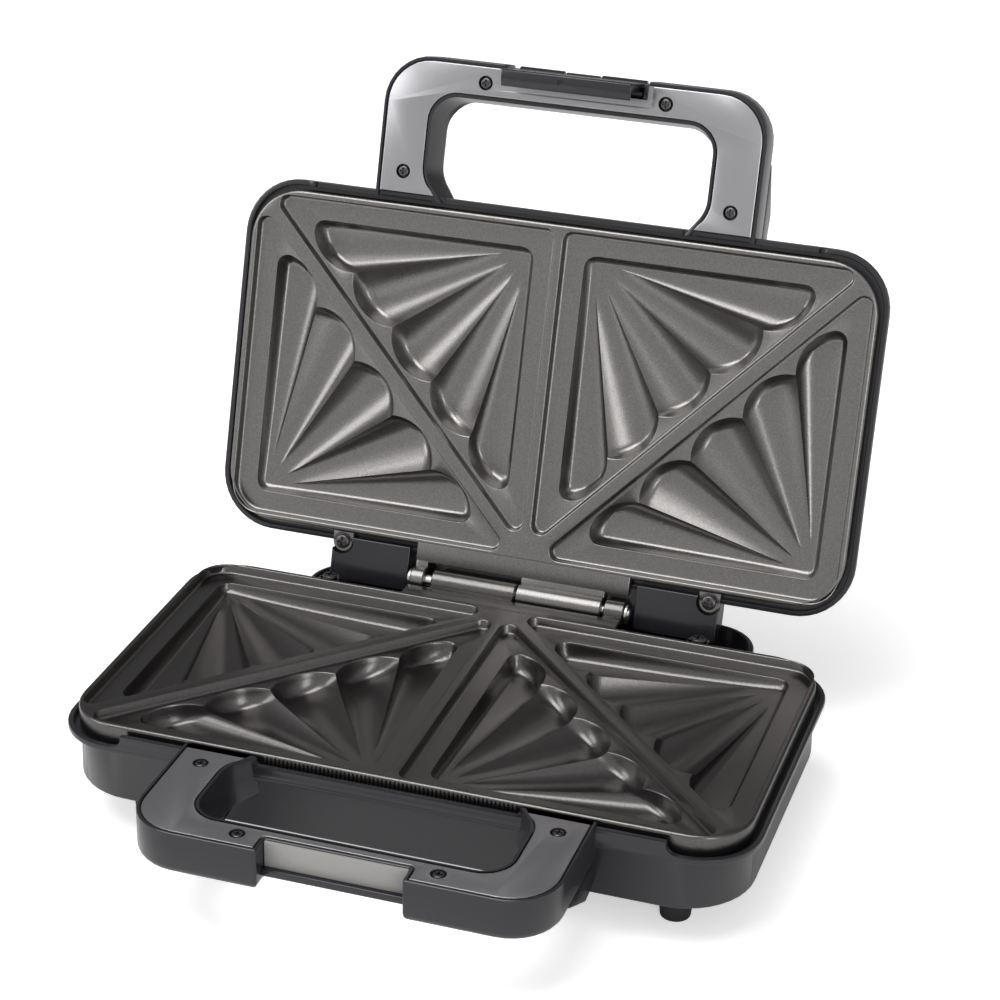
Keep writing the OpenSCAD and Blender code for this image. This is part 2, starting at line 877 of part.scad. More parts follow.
module bottom_cover() {
    slots = 7;
    color(black)
        placed()
            difference() {
                slab(bottom_cover_w - 2 * fit_gap, bottom_cover_d - 2 * fit_gap, bottom_cover_r - fit_gap,
                    -base_depth, -base_depth + bottom_cover_t);
                at_bottom_screws() translate([0, 0, -1]) cylinder(r = ear_shank_r + fit_gap, h = 4);
                for (i = [0:slots - 1])
                    translate([(i - (slots - 1) / 2) * 12 - 2, -20, -base_depth - 1]) cube([4, 40, 4]);
            }
}

module bottom_screws() {
    color(steel)
        placed()
            at_bottom_screws()
                rotate([180, 0, 0])
                    screw(ear_head_r, ear_head_h, ear_shank_r, 7);
}

module feet() {
    foot_h = floor_drop - base_depth;
    color([0.03, 0.03, 0.03])
        placed()
            at_feet() {
                translate([0, 0, -foot_h]) cylinder(r1 = foot_r, r2 = foot_r + foot_h * tan(8), h = foot_h);
                translate([0, 0, -eps]) cylinder(r = stem_r, h = wall_t + eps);
                translate([0, 0, wall_t]) cylinder(r1 = stem_r + 0.8, r2 = stem_r - 1, h = 2);
            }
}

module latch_striker() {
    t = 1.2;
    color([0.55, 0.55, 0.56])
        placed()
            translate([-base_notch_w / 2 + fit_gap, -handle_y + notch_d - t, -ledge_top])
                cube([base_notch_w - 2 * fit_gap, t, ledge_top - rim_z - 0.4]);
}

module cord_gland() {
    color(black)
        placed()
            translate([gland_x, heel_y, gland_z])
                rotate([-90, 0, 0])
                    difference() {
                        union() {
                            translate([0, 0, -wall_t - 2]) cylinder(r = gland_r, h = wall_t + 2 + eps);
                            cylinder(r = gland_r + 2, h = 1.5);
                        }
                        translate([0, 0, -wall_t - 3]) cylinder(r = gland_bore_r, h = wall_t + 5);
                    }
}

module lower_plate_screws() {
    color(steel) placed() ear_screws();
}

module upper_plate_screws() {
    color(steel) opened() turned_over() ear_screws();
}

module lower_reflector_screws() {
    color(steel) placed() reflector_screws();
}

module upper_reflector_screws() {
    color(steel) opened() turned_over() reflector_screws();
}

// ---- lid ----

// Room for the upper plate's ears in the wall and the hinge blocks
module ear_rooms() {
    room = ear_r + 0.7;
    depth = ear_top + plate_t + fit_gap;
    both_sides() {
        translate([ear_x, ear_y, -depth]) cylinder(r = room, h = depth + 1);
        translate([ear_x - room, plate_d / 2, -depth]) cube([2 * room, ear_out, depth + 1]);
    }
}

// A hollow block beside the hinge, drawn for the lid turned down; the ear screw runs into it
module hinge_block() {
    root_y = plate_d / 2 + plate_gap;
    low = -rim_z - move_gap;
    difference() {
        translate([block_x, root_y, 0])
            rotate([90, 0, 90])
                linear_extrude(block_w)
                    polygon([
                        [0, low], [block_y - root_y - 1, low], [block_y - root_y, low - 1],
                        [block_y - root_y, -block_h + 5], [block_y - root_y - 5, -block_h], [0, -block_h]
                    ]);
        translate([block_x + 2, root_y + 4, -block_h + wall_t])
            cube([block_w * 0.55, block_y - root_y - 8, block_h]);
    }
}

// The wall over the hinge knuckles, between the blocks
module knuckle_cover() {
    root_y = plate_d / 2 + plate_gap;
    top = barrel_r - hinge_drop + 1.6;
    translate([-block_x - 1, root_y, -top - wall_t]) cube([2 * block_x + 2, block_y - root_y, wall_t]);
}

lens_r = 4;
lamp_len = 11;
lens_x = 10;
lens_y = -44;

module at_lenses() {
    both_sides() translate([lens_x, lens_y, -lid_height]) children();
}

module lid_housing() {
    seat_z = -rim_z - skirt_h;
    color(black)
        opened()
            turned_over()
                difference() {
                    union() {
                        shell(lid_lip_rise, lid_height, lid_side_set, lid_front_set, lid_draft, 0.4);
                        both_sides() hinge_block();
                        knuckle_cover();
                        raised_front(lid_lip_rise);
                        both_sides()
                            translate([finger_w / 2 - 14, -lip_d / 2 + lid_front_set + 2, seat_z - 6])
                                cube([14, 6, 6]);
                        handle_tray(lid_notch_w, notch_d);
                    }
                    translate([-handle_w, -latch_y, -latch_z])
                        rotate([0, 90, 0])
                            translate([0, 0, handle_w - lid_notch_w / 2 - handle_wall + 0.2])
                                cylinder(r = latch_pin_r + run_gap, h = lid_notch_w + 2 * handle_wall - 0.4);
                    at_lenses() translate([0, 0, -1]) cylinder(r = lens_r + run_gap, h = wall_t + 2);
                    ear_screw_holes();
                    ear_rooms();
                    slab(2 * tab_half + 2, lip_d, 0.5, -rim_z - plate_t - 0.2, 0);
                }
}

module latch_pin() {
    color(steel)
        opened()
            turned_over()
                translate([-lid_notch_w / 2 - handle_wall + 0.5, -latch_y, -latch_z])
                    rotate([0, 90, 0])
                        cylinder(r = latch_pin_r, h = lid_notch_w + 2 * handle_wall - 1);
}

spring_half = 7;

// The lever, drawn closed: z grows towards the lid, its hook is below the parting plane
module latch_lever() {
    hook_z = -ledge_top - ledge_t - fit_gap;
    color([0.6, 0.6, 0.62])
        opened()
            difference() {
                union() {
                    translate([-lever_w / 2, -latch_y - lever_t / 2, hook_z - hook_h])
                        cube([lever_w, lever_t, latch_z - hook_z + hook_h]);
                    translate([-lever_w / 2, -latch_y, latch_z])
                        rotate([0, 90, 0])
                            cylinder(r = eye_r, h = lever_w);
                    translate([-lever_w / 2, -lever_in, hook_z])
                        rotate([90, 0, 90])
                            linear_extrude(lever_w)
                                polygon([
                                    [-1, 0], [hook_reach, 0], [hook_reach, -0.6], [0, -hook_h], [-1, -hook_h]
                                ]);
                }
                translate([-lever_w, -latch_y, latch_z])
                    rotate([0, 90, 0])
                        cylinder(r = latch_pin_r + run_gap, h = 2 * lever_w);
                translate([-spring_half - 1, -handle_y - 2, latch_z - eye_r - 1.5])
                    cube([2 * spring_half + 2, lever_t + 8, 3 * eye_r]);
            }
}

module latch_spring() {
    wire = 0.4;
    coil_r = latch_pin_r + 0.3;
    color(steel)
        opened()
            translate([0, -latch_y, latch_z]) {
                rotate([0, 90, 0])
                    translate([0, 0, -spring_half])
                        difference() {
                            cylinder(r = coil_r + 2 * wire, h = 2 * spring_half);
                            translate([0, 0, -1]) cylinder(r = coil_r, h = 2 * spring_half + 2);
                        }
                translate([spring_half - 1, lever_t / 2 + wire + 0.1, -9]) cylinder(r = wire, h = 9);
                translate([1 - spring_half, 1, coil_r + wire])
                    rotate([-90, 0, 0])
                        cylinder(r = wire, h = latch_y - notch_y - 1.2);
            }
}

module indicator_lenses() {
    color([0.7, 0.1, 0.05])
        opened()
            turned_over()
                at_lenses() {
                    cylinder(r = lens_r, h = wall_t);
                    translate([0, 0, wall_t]) cylinder(r = lens_r + 1, h = 1);
                }
}

module indicator_lamps() {
    color([0.9, 0.6, 0.4])
        opened()
            turned_over()
                at_lenses()
                    translate([0, 0, wall_t + 1.2]) cylinder(r = 2.4, h = lamp_len);
}

// ---- electrics ----

module thermostat() {
    color(steel)
        placed()
            translate([44, 0, -tray_z - tray_t - 7]) {
                cylinder(r = 8, h = 7);
                translate([-14, -4, 6]) cube([28, 8, 1]);
            }
}

module thermal_fuse() {
    color([0.8, 0.75, 0.6])
        placed()
            translate([-50, 0, -tray_z - tray_t - 2.2])
                rotate([0, 90, 0])
                    cylinder(r = 2.2, h = 14);
}

block_size = [30, 12, 12];
block_at = [gland_x, heel_y - 17.5];

module terminal_block() {
    color([0.85, 0.85, 0.82])
        placed()
            translate([block_at.x - block_size.x / 2, block_at.y - block_size.y / 2, -base_depth + wall_t])
                difference() {
                    cube(block_size);
                    for (i = [0:2])
                        translate([5 + 10 * i, -1, 5]) rotate([-90, 0, 0]) cylinder(r = 2, h = 20);
                }
}

// A wire run straight from point to point, each stretch a little past the bend at its end
module wire(pts, r) {
    for (i = [0:len(pts) - 2]) {
        run = pts[i + 1] - pts[i];
        translate(pts[i])
            rotate([0, acos(run.z / norm(run)), atan2(run.y, run.x)])
                cylinder(r = r, h = norm(run) + (i < len(pts) - 2 ? r / 2 : 0), $fn = 8);
    }
}

wire_r = 1.3;

// The point just below an element's terminal, on its front or rear leg
function terminal(side) = [terminal_x, side * element_bend, -element_z - terminal_len - 0.2];

module base_wiring() {
    low = -base_depth + wall_t + 5;
    run_z = -base_depth + wall_t + 2;
    start_y = block_at.y - block_size.y / 2;
    drop = [0, 0, -3];
    color([0.75, 0.15, 0.1])
        placed() {
            wire([
                [block_at.x - 10, start_y, low], [-72, 60, run_z], [40, 44, run_z],
                terminal(1) + drop, terminal(1)
            ], wire_r);
            wire([
                [block_at.x, start_y, low], [-56, 50, low], [-30, 10, -tray_z - tray_t - 6.5],
                [44 - 14 - 0.2, 0, -tray_z - tray_t - 6.5]
            ], wire_r);
        }
}

module lid_wiring() {
    lamp_end = -lid_height + wall_t + 1.2 + lamp_len + 0.2;
    drop = [0, 0, -3];
    color([0.75, 0.15, 0.1])
        opened()
            turned_over() {
                wire([
                    [lens_x, lens_y, lamp_end], [lens_x, lens_y, lamp_end] - drop,
                    terminal(-1) + drop, terminal(-1)
                ], wire_r);
                wire([
                    [-lens_x, lens_y, lamp_end], [-lens_x, lens_y, lamp_end] - drop, [-30, 30, -30],
                    terminal(1) + drop, terminal(1)
                ], wire_r);
            }
}

base_housing();
bottom_cover();
feet();
lower_plate();
lower_element();
lower_reflector();
base_handle_cover();
base_handle_screws();
latch_striker();
hinge_pin();
hinge_pin_clips();
lower_plate_screws();
lower_reflector_screws();
bottom_screws();
thermostat();
thermal_fuse();
terminal_block();
base_wiring();
cord_gland();
lid_housing();
upper_plate();
upper_element();
upper_reflector();
upper_plate_screws();
upper_reflector_screws();
lid_handle_cover();
lid_handle_screws();
latch_pin();
latch_spring();
indicator_lenses();
indicator_lamps();
lid_wiring();
latch_lever();
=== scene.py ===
import json
import math

import bmesh
import bpy
from mathutils import Matrix, Vector
from mathutils.geometry import delaunay_2d_cdt


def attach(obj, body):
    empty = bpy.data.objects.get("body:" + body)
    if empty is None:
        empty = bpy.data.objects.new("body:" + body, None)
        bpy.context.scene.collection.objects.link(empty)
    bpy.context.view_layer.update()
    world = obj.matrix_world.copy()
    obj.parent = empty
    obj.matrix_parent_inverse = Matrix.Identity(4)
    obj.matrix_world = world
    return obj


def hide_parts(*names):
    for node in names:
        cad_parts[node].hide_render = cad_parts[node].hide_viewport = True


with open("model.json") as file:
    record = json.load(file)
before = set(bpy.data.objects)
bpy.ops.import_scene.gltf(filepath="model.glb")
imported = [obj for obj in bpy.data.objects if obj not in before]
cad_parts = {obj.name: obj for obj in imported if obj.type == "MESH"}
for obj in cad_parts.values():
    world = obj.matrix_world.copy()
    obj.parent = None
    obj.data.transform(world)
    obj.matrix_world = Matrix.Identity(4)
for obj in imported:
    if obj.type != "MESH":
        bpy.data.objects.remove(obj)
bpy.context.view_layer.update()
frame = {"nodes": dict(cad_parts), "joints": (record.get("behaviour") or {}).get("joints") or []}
print("stage: frame loaded")

# Sizes are millimetres round the plates' centre, with the parting plane at z = 0. A piece is drawn as it
# is in the base; the lid's copy is turned over and swung open.
mm = 0.001
hinge = next(joint for joint in frame["joints"] if joint["name"] == "lid_hinge")
hingeAt = Vector((0, 85.4, -1))
rowShift = Vector(hinge["pos_m"]) / mm - hingeAt
openAngle = math.radians(hinge["range_deg"][1])
basePlace = Matrix.Scale(mm, 4) @ Matrix.Translation(rowShift)
swing = Matrix.Translation(hingeAt) @ Matrix.Rotation(-openAngle, 4, "X") @ Matrix.Translation(-hingeAt)
closedPlace = basePlace @ swing
lidPlace = closedPlace @ Matrix.Scale(-1, 4, (0, 0, 1))

lip = {"x": 138.8, "y": 75.5, "r": 24}
rimZ = -0.15


# The corners of a counter-clockwise outline, with every edge moved in by the same distance.
def inward(points, distance):
    moved = []
    for i, p in enumerate(points):
        before = (p - points[i - 1]).normalized()
        after = (points[(i + 1) % len(points)] - p).normalized()
        n = Vector((-before.y, before.x))
        m = Vector((-after.y, after.x))
        moved.append(p + (n + m) * distance / (1 + n.dot(m)))
    return moved


# An outline moved in and with its corners rounded, with the same number of points at any inset.
def rounded(points, radii, inset=0, steps=8):
    moved = inward(points, inset)
    result = []
    for i, p in enumerate(moved):
        a = (moved[i - 1] - p).normalized()
        b = (moved[(i + 1) % len(moved)] - p).normalized()
        bulges = a.x * b.y - a.y * b.x < 0
        radius = max(radii[i] + (-inset if bulges else inset), 0.05)
        half = a.angle(b) / 2
        centre = p + (a + b).normalized() * radius / math.sin(half)
        start = p + a * radius / math.tan(half) - centre
        end = p + b * radius / math.tan(half) - centre
        first = math.atan2(start.y, start.x)
        turn = (math.atan2(end.y, end.x) - first + 3 * math.pi) % (2 * math.pi) - math.pi
        for k in range(steps + 1):
            angle = first + turn * k / steps
            result.append(centre + radius * Vector((math.cos(angle), math.sin(angle))))
    return result


def flat(pairs):
    return [Vector(p) for p in pairs]


def rectangle(x, y, radius, steps=8):
    return rounded(flat([(x, -y), (x, y), (-x, y), (-x, -y)]), [radius] * 4, 0, steps)


def contains(loop, p):
    inside = False
    for i, a in enumerate(loop):
        b = loop[i - 1]
        if (a.y > p.y) != (b.y > p.y) and p.x < (b.x - a.x) * (p.y - a.y) / (b.y - a.y) + a.x:
            inside = not inside
    return inside


def mirrored(loop):
    return [Vector((-p.x, p.y)) for p in reversed(loop)]


# Closed shells gathered into one mesh.
class Solid:
    def __init__(self):
        self.bm = bmesh.new()

    def face(self, verts, smooth=True):
        if len(set(verts)) > 2 and not self.bm.faces.get(verts):
            self.bm.faces.new(verts).smooth = smooth

    def ring(self, loop, z):
        return [self.bm.verts.new((p.x, p.y, z)) for p in loop]

    def bridge(self, one, two):
        for i in range(len(one)):
            k = (i + 1) % len(one)
            self.face([one[i], one[k], two[k], two[i]])

    # Joins (loop, z) levels into a shell, closed by flat ends or back round to the first level.
    def loft(self, levels, capped=True):
        rings = [self.ring(loop, z) for loop, z in levels]
        for one, two in zip(rings, rings[1:]):
            self.bridge(one, two)
        if capped:
            self.face(rings[0], False)
            self.face(rings[-1], False)
        else:
            self.bridge(rings[-1], rings[0])
        return rings

    # A flat face between an outline and the outlines of its holes.
    def region(self, outer, holes, z):
        loops = [outer, *holes]
        points = [p for loop in loops for p in loop]
        edges, start = [], 0
        for loop in loops:
            edges += [(start + i, start + (i + 1) % len(loop)) for i in range(len(loop))]
            start += len(loop)
        made = delaunay_2d_cdt(points, edges, [], 0, 1e-5, False)
        verts = [self.bm.verts.new((p.x, p.y, z)) for p in made[0]]
        for corners in made[2]:
            middle = sum((made[0][i] for i in corners), Vector((0, 0))) / 3
            if contains(outer, middle) and not any(contains(hole, middle) for hole in holes):
                self.face([verts[i] for i in corners], False)

    # Takes in another solid, moved by a matrix.
    def add(self, other, place=None):
        mesh = bpy.data.meshes.new("part")
        other.bm.to_mesh(mesh)
        if place is not None:
            mesh.transform(place)
        self.bm.from_mesh(mesh)
        bpy.data.meshes.remove(mesh)

    def weld(self, distance=0.004):
        bmesh.ops.remove_doubles(self.bm, verts=self.bm.verts, dist=distance)


# Rounds the edges that are sharper than the limit.
def bevelled(solid, width, steps=2, limit=30):
    solid.weld()
    solid.bm.normal_update()
    bmesh.ops.recalc_face_normals(solid.bm, faces=solid.bm.faces)
    sharp = [e for e in solid.bm.edges if e.is_manifold and e.calc_face_angle() > math.radians(limit)]
    bmesh.ops.bevel(solid.bm, geom=sharp, offset=width, segments=steps, profile=0.5, affect="EDGES",
                    clamp_overlap=True)
    for face in solid.bm.faces:
        face.smooth = True
    return solid


def block(low, high, width=0.3, steps=2):
    x0, y0, z0 = low
    x1, y1, z1 = high
    solid = Solid()
    loop = flat([(x0, y0), (x1, y0), (x1, y1), (x0, y1)])
    solid.loft([(loop, z0), (loop, z1)])
    return bevelled(solid, width, steps)


# A bar along X whose section is given as (y, z) points.
def prism(profile, x0, x1, width=0.3, steps=2):
    solid = Solid()
    ends = [[solid.bm.verts.new((x, y, z)) for y, z in profile] for x in (x0, x1)]
    solid.bridge(*ends)
    for end in ends:
        solid.face(end, False)
    return bevelled(solid, width, steps)


# A body of revolution about Z from (radius, z) points; the ends are closed.
def turned(profile, sides=48):
    solid = Solid()
    circle = [Vector((math.cos(2 * math.pi * i / sides), math.sin(2 * math.pi * i / sides)))
              for i in range(sides)]
    solid.loft([([p * radius for p in circle], z) for radius, z in profile])
    return solid


def bothSides(solid, part):
    solid.add(part)
    solid.add(part, Matrix.Scale(-1, 4, (1, 0, 0)))


def movedBy(solid, offset):
    bmesh.ops.translate(solid.bm, verts=solid.bm.verts, vec=offset)
    return solid


def alongX(x, y, z):
    return Matrix.Translation((x, y, z)) @ Matrix.Rotation(math.pi / 2, 4, "Y")


# Turns a solid into an object that rides on a body and stands for CAD nodes.
def piece(name, solid, place, material, body, nodes, sharpAngle=35):
    bm = solid.bm
    bmesh.ops.transform(bm, matrix=place, verts=bm.verts)
    bmesh.ops.recalc_face_normals(bm, faces=bm.faces)
    mesh = bpy.data.meshes.new(name)
    bm.to_mesh(mesh)
    bm.free()
    mesh.set_sharp_from_angle(angle=math.radians(sharpAngle))
    for edge in mesh.edges:
        if edge.use_seam:
            edge.use_edge_sharp, edge.use_seam = True, False
    mesh.materials.append(material)
    made = bpy.data.objects.new(name, mesh)
    bpy.context.scene.collection.objects.link(made)
    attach(made, body)
    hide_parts(*nodes)
    return made

texture = {"coatRoughness": 0.12, "specular": 0.5, "grainDepth": 0.0002, "wearScale": 35, "wear": 0.08,
           "speckScale": 1600}


# A principled finish with a fine grain in its surface and a slow change of roughness.
def material(name, colour, roughness, metallic=0.0, coat=0.0, grain=0.0, grainScale=900, mottle=0.0):
    made = bpy.data.materials.new(name)
    made.use_nodes = True
    nodes, links = made.node_tree.nodes, made.node_tree.links
    shader = nodes["Principled BSDF"]
    shader.inputs["Base Color"].default_value = (*colour, 1)
    shader.inputs["Roughness"].default_value = roughness
    shader.inputs["Metallic"].default_value = metallic
    shader.inputs["Coat Weight"].default_value = coat
    shader.inputs["Coat Roughness"].default_value = texture["coatRoughness"]
    shader.inputs["Specular IOR Level"].default_value = texture["specular"]
    where = nodes.new("ShaderNodeTexCoord")
    if grain:
        noise = nodes.new("ShaderNodeTexNoise")
        noise.inputs["Scale"].default_value = grainScale
        noise.inputs["Detail"].default_value = 3
        bump = nodes.new("ShaderNodeBump")
        bump.inputs["Strength"].default_value = grain
        bump.inputs["Distance"].default_value = texture["grainDepth"]
        links.new(where.outputs["Object"], noise.inputs["Vector"])
        links.new(noise.outputs["Fac"], bump.inputs["Height"])
        links.new(bump.outputs["Normal"], shader.inputs["Normal"])
    wear = nodes.new("ShaderNodeTexNoise")
    wear.inputs["Scale"].default_value = texture["wearScale"]
    spread = nodes.new("ShaderNodeMapRange")
    spread.inputs["To Min"].default_value = roughness * (1 - texture["wear"])
    spread.inputs["To Max"].default_value = roughness * (1 + texture["wear"])
    links.new(where.outputs["Object"], wear.inputs["Vector"])
    links.new(wear.outputs["Fac"], spread.inputs["Value"])
    links.new(spread.outputs["Result"], shader.inputs["Roughness"])
    if mottle:
        speck = nodes.new("ShaderNodeTexNoise")
        speck.inputs["Scale"].default_value = texture["speckScale"]
        speck.inputs["Detail"].default_value = 2
        tint = nodes.new("ShaderNodeMapRange")
        tint.inputs["To Min"].default_value = 1 - mottle
        tint.inputs["To Max"].default_value = 1 + mottle
        mix = nodes.new("ShaderNodeVectorMath")
        mix.operation = "SCALE"
        mix.inputs[0].default_value = colour
        links.new(where.outputs["Object"], speck.inputs["Vector"])
        links.new(speck.outputs["Fac"], tint.inputs["Value"])
        links.new(tint.outputs["Result"], mix.inputs["Scale"])
        links.new(mix.outputs["Vector"], shader.inputs["Base Color"])
    return made


gloss = material("glossBlack", (0.012, 0.012, 0.015), 0.24, coat=0.1, grain=0.04)
matt = material("mattBlack", (0.02, 0.02, 0.021), 0.5, grain=0.1)
rubber = material("rubber", (0.018, 0.018, 0.018), 0.75, grain=0.15)
coating = {"metallic": 0.97, "grainScale": 1400, "mottle": 0.42}
nonstick = material("nonstick", (0.2, 0.193, 0.189), 0.28, grain=0.2, **coating)
# Painted shade: the lower plate has a darker copy of the same coating, for the shade it lies in under the
# open lid.
nonstickPaintedShade = material("nonstickPaintedShade", (0.12, 0.115, 0.113), 0.26, grain=0.18, **coating)
satin = material("satinGrey", (0.36, 0.354, 0.369), 0.3, metallic=0.95, grain=0.05)
steel = material("steel", (0.5, 0.5, 0.5), 0.3, metallic=1.0, grain=0.06)
screwSteel = material("screwSteel", (0.09, 0.09, 0.092), 0.32, metallic=0.9, grain=0.06)
tinted = material("tintedSteel", (0.4, 0.37, 0.34), 0.4, metallic=1.0, grain=0.06)
lightGrey = material("lightGrey", (0.26, 0.255, 0.25), 0.4)
cream = material("cream", (0.72, 0.7, 0.64), 0.6)
sleeve = material("sleeve", (0.45, 0.08, 0.05), 0.8, grain=0.3)
redLens = material("redLens", (0.5, 0.02, 0.015), 0.15, coat=0.5)
amber = material("amber", (0.7, 0.35, 0.15), 0.2)
print("stage: materials")


casting = {"x": 135, "y": 71.1, "r": 21.5, "rim": 2, "drop": 4, "centre": 2.8, "diagonal": 4.5, "tip": 4.5,
           "skirt": 9, "underside": -14.6}
fan = {"x": 98, "y": 103.5, "flutes": 5, "bulge": 6.5, "tip": 5, "corner": 6, "shallow": 3.3, "deep": 8.2,
       "legWall": 3.2, "endWall": 4.6, "edge": 1.1, "margin": 9.3, "apex": (2.4, 1.2), "fade": 0.16,
       "ridge": 0.78, "outer": 0.7, "columns": 18, "rows": 46}


# The round end of a flute. The flutes beside the straight walls run into a round tip.
def lobeEnd(s):
    flutes, tip, bulge = fan["flutes"], fan["tip"], fan["bulge"]
    low, high = Vector((fan["x"], 0)), Vector((0, fan["y"]))
    k = min(int(s), flutes - 1)
    a, b = low.lerp(high, k / flutes), low.lerp(high, (k + 1) / flutes)
    half = (b - a).length / 2
    radius = (half * half + bulge * bulge) / (2 * bulge)
    centre = (a + b) / 2 - Vector((high.y, low.x)).normalized() * (radius - bulge)
    start, end = (math.atan2(p.y - centre.y, p.x - centre.x) for p in (a, b))
    arcs = [(centre, radius, start, end)]
    if k == 0:
        middle = Vector((centre.x + math.sqrt((radius - tip) ** 2 - (tip - centre.y) ** 2), tip))
        turn = math.atan2(middle.y - centre.y, middle.x - centre.x)
        arcs = [(middle, tip, -math.pi / 2, turn), (centre, radius, turn, end)]
    if k == flutes - 1:
        middle = Vector((tip, centre.y + math.sqrt((radius - tip) ** 2 - (tip - centre.x) ** 2)))
        turn = math.atan2(middle.y - centre.y, middle.x - centre.x)
        arcs = [(centre, radius, start, turn), (middle, tip, turn, math.pi)]
    distance = (s - k) * sum(r * (last - first) for _, r, first, last in arcs)
    for middle, r, first, last in arcs:
        if distance <= r * (last - first) + 1e-5:
            break
        distance -= r * (last - first)
    angle = first + distance / r
    return middle + r * Vector((math.cos(angle), math.sin(angle)))


# A pocket's plan: s counts the flutes, t runs from the fan's apex to the round ends.
def fanPoint(s, t):
    end = lobeEnd(s)
    start = Vector(fan["apex"]) * max(0, min(1, s, fan["flutes"] - s))
    return start.lerp(end, t), (end - start).length * (1 - t)


# Bends the square corner at the apex into a round one.
def softCorner(p):
    r = fan["corner"]
    if max(p.x, p.y) >= r:
        return p
    u, v = (r - p.x) / r, (r - p.y) / r
    return Vector((r - r * u * math.sqrt(1 - v * v / 2), r - r * v * math.sqrt(1 - u * u / 2)))


def easing(distance, width):
    q = min(distance / width, 1)
    top = min(distance / fan["edge"], 1)
    return q * (2 - q) * math.sqrt(top * top * (3 - 2 * top))


def fanDepth(s, t, p, toEnd):
    f = 2 * (s - math.floor(s)) - 1
    if s < 1 and f < 0 or s > fan["flutes"] - 1 and f > 0:
        f *= fan["outer"]
    grown = max(0, (t - fan["fade"]) / (1 - fan["fade"]))
    ridge = fan["ridge"] * grown ** 0.75 * f * f
    depth = fan["shallow"] + (fan["deep"] - fan["shallow"]) * t ** 0.8
    sides = easing(p.x, fan["legWall"]) * easing(p.y, fan["legWall"])
    return depth * (1 - ridge) * sides * easing(toEnd, fan["endWall"])


# Values of s, closer together beside the two straight walls.
def fanColumns():
    n, flutes = fan["columns"], fan["flutes"]
    first = [(i / (2 * n)) ** 2 for i in range(2 * n)]
    middle = [1 + i / n for i in range((flutes - 2) * n)]
    return first + middle + [flutes - s for s in (1, *reversed(first))]


# Adds one fluted pocket; turn maps its own plan to the plate's. Returns its outline.
def pocket(solid, turn, border):
    rows = fan["rows"]
    columns = fanColumns()
    grid = []
    for s in columns:
        line = []
        for k in range(rows + 1):
            t = (1 - math.cos(math.pi * k / rows)) / 2
            p, toEnd = fanPoint(s, t)
            line.append((turn(softCorner(p)), border - fanDepth(s, t, p, toEnd)))
        grid.append(line)
    verts = [[solid.bm.verts.new((p.x, p.y, z)) for p, z in line] for line in grid]
    for one, two in zip(verts, verts[1:]):
        for k in range(rows):
            solid.face([one[k], two[k], two[k + 1], one[k + 1]])
    for s, line in zip(columns, verts):
        if abs(s - round(s)) < 1e-6 and 0 < round(s) < fan["flutes"]:
            for k in range(rows // 3, rows):
                solid.bm.edges.get((line[k], line[k + 1])).seam = True
    first = [p for p, z in grid[0]]
    lobes = [line[-1][0] for line in grid[1:-1]]
    last = [p for p, z in reversed(grid[-1])]
    return first + lobes + last[:-1]


# The two recess outlines in the right half, as sharp corners and radii.
def recesses():
    x0 = casting["centre"] / 2
    x1 = casting["x"] - casting["rim"]
    y = casting["y"] - casting["rim"]
    slant = math.hypot(2 * y, x1 - x0) * casting["diagonal"] / 2
    dx, dy = slant / (2 * y), slant / (x1 - x0)
    tip = casting["tip"]
    return [(flat([(x1, y), (x0 + dx, y), (x1, dy - y)]), [casting["r"] - casting["rim"] - 7, tip, tip]),
            (flat([(x0, -y), (x1 - dx, -y), (x0, y - dy)]), [tip] * 3)]


# The rim, the recesses with their flat borders and the four fluted pockets.
def plateTop(solid):
    border = rimZ - casting["drop"]
    x1 = casting["x"] - casting["rim"] - fan["margin"]
    x0 = casting["centre"] / 2 + fan["margin"]
    y = casting["y"] - casting["rim"] - fan["margin"]
    turns = [lambda p: Vector((x1 - p.x, y - p.y)), lambda p: Vector((x0 + p.x, p.y - y))]
    wall = [(0, 0), (0.3, -0.08), (0.55, -0.4), (0.85, -3.2), (1.1, -3.65), (1.6, -3.92), (2.3, -4)]
    holes = []
    for (points, radii), turn in zip(recesses(), turns):
        for side in (1, -1):
            half = Solid()
            rings = [(rounded(points, radii, inset), rimZ + z) for inset, z in wall]
            levels = [half.ring(loop, z) for loop, z in rings]
            for one, two in zip(levels, levels[1:]):
                half.bridge(one, two)
            outline = pocket(half, turn, border)
            half.region(rings[-1][0], [outline], border)
            solid.add(half, Matrix.Scale(side, 4, (1, 0, 0)) if side < 0 else None)
            holes.append(rings[0][0] if side > 0 else mirrored(rings[0][0]))
    return holes


def castingSolid():
    solid = Solid()
    holes = plateTop(solid)
    skirt = rimZ - casting["skirt"]

    def edge(inset):
        return rectangle(casting["x"] - inset, casting["y"] - inset, casting["r"] - inset, 12)

    edges = [(1.2, rimZ), (0.75, rimZ - 0.1), (0.3, rimZ - 0.42), (0.06, rimZ - 0.9), (0, rimZ - 1.4),
             (0, skirt + 0.3), (0.3, skirt), (3.2, skirt), (3.6, casting["underside"])]
    solid.region(edge(1.2), holes, rimZ)
    rings = [solid.ring(edge(inset), z) for inset, z in edges]
    for one, two in zip(rings, rings[1:]):
        solid.bridge(one, two)
    solid.face(rings[-1], False)
    solid.weld()
    return solid


barrels = {"r": 5.2, "bore": 2.6, "long": 37, "ring": 38.3, "lowerRing": 8.6, "upperRing": 5.9}
ear = {"x": 80.8, "y": 75.4, "r": 4.5, "top": -1.95, "t": 3}
tabEnd = hingeAt.y - barrels["r"] - 2


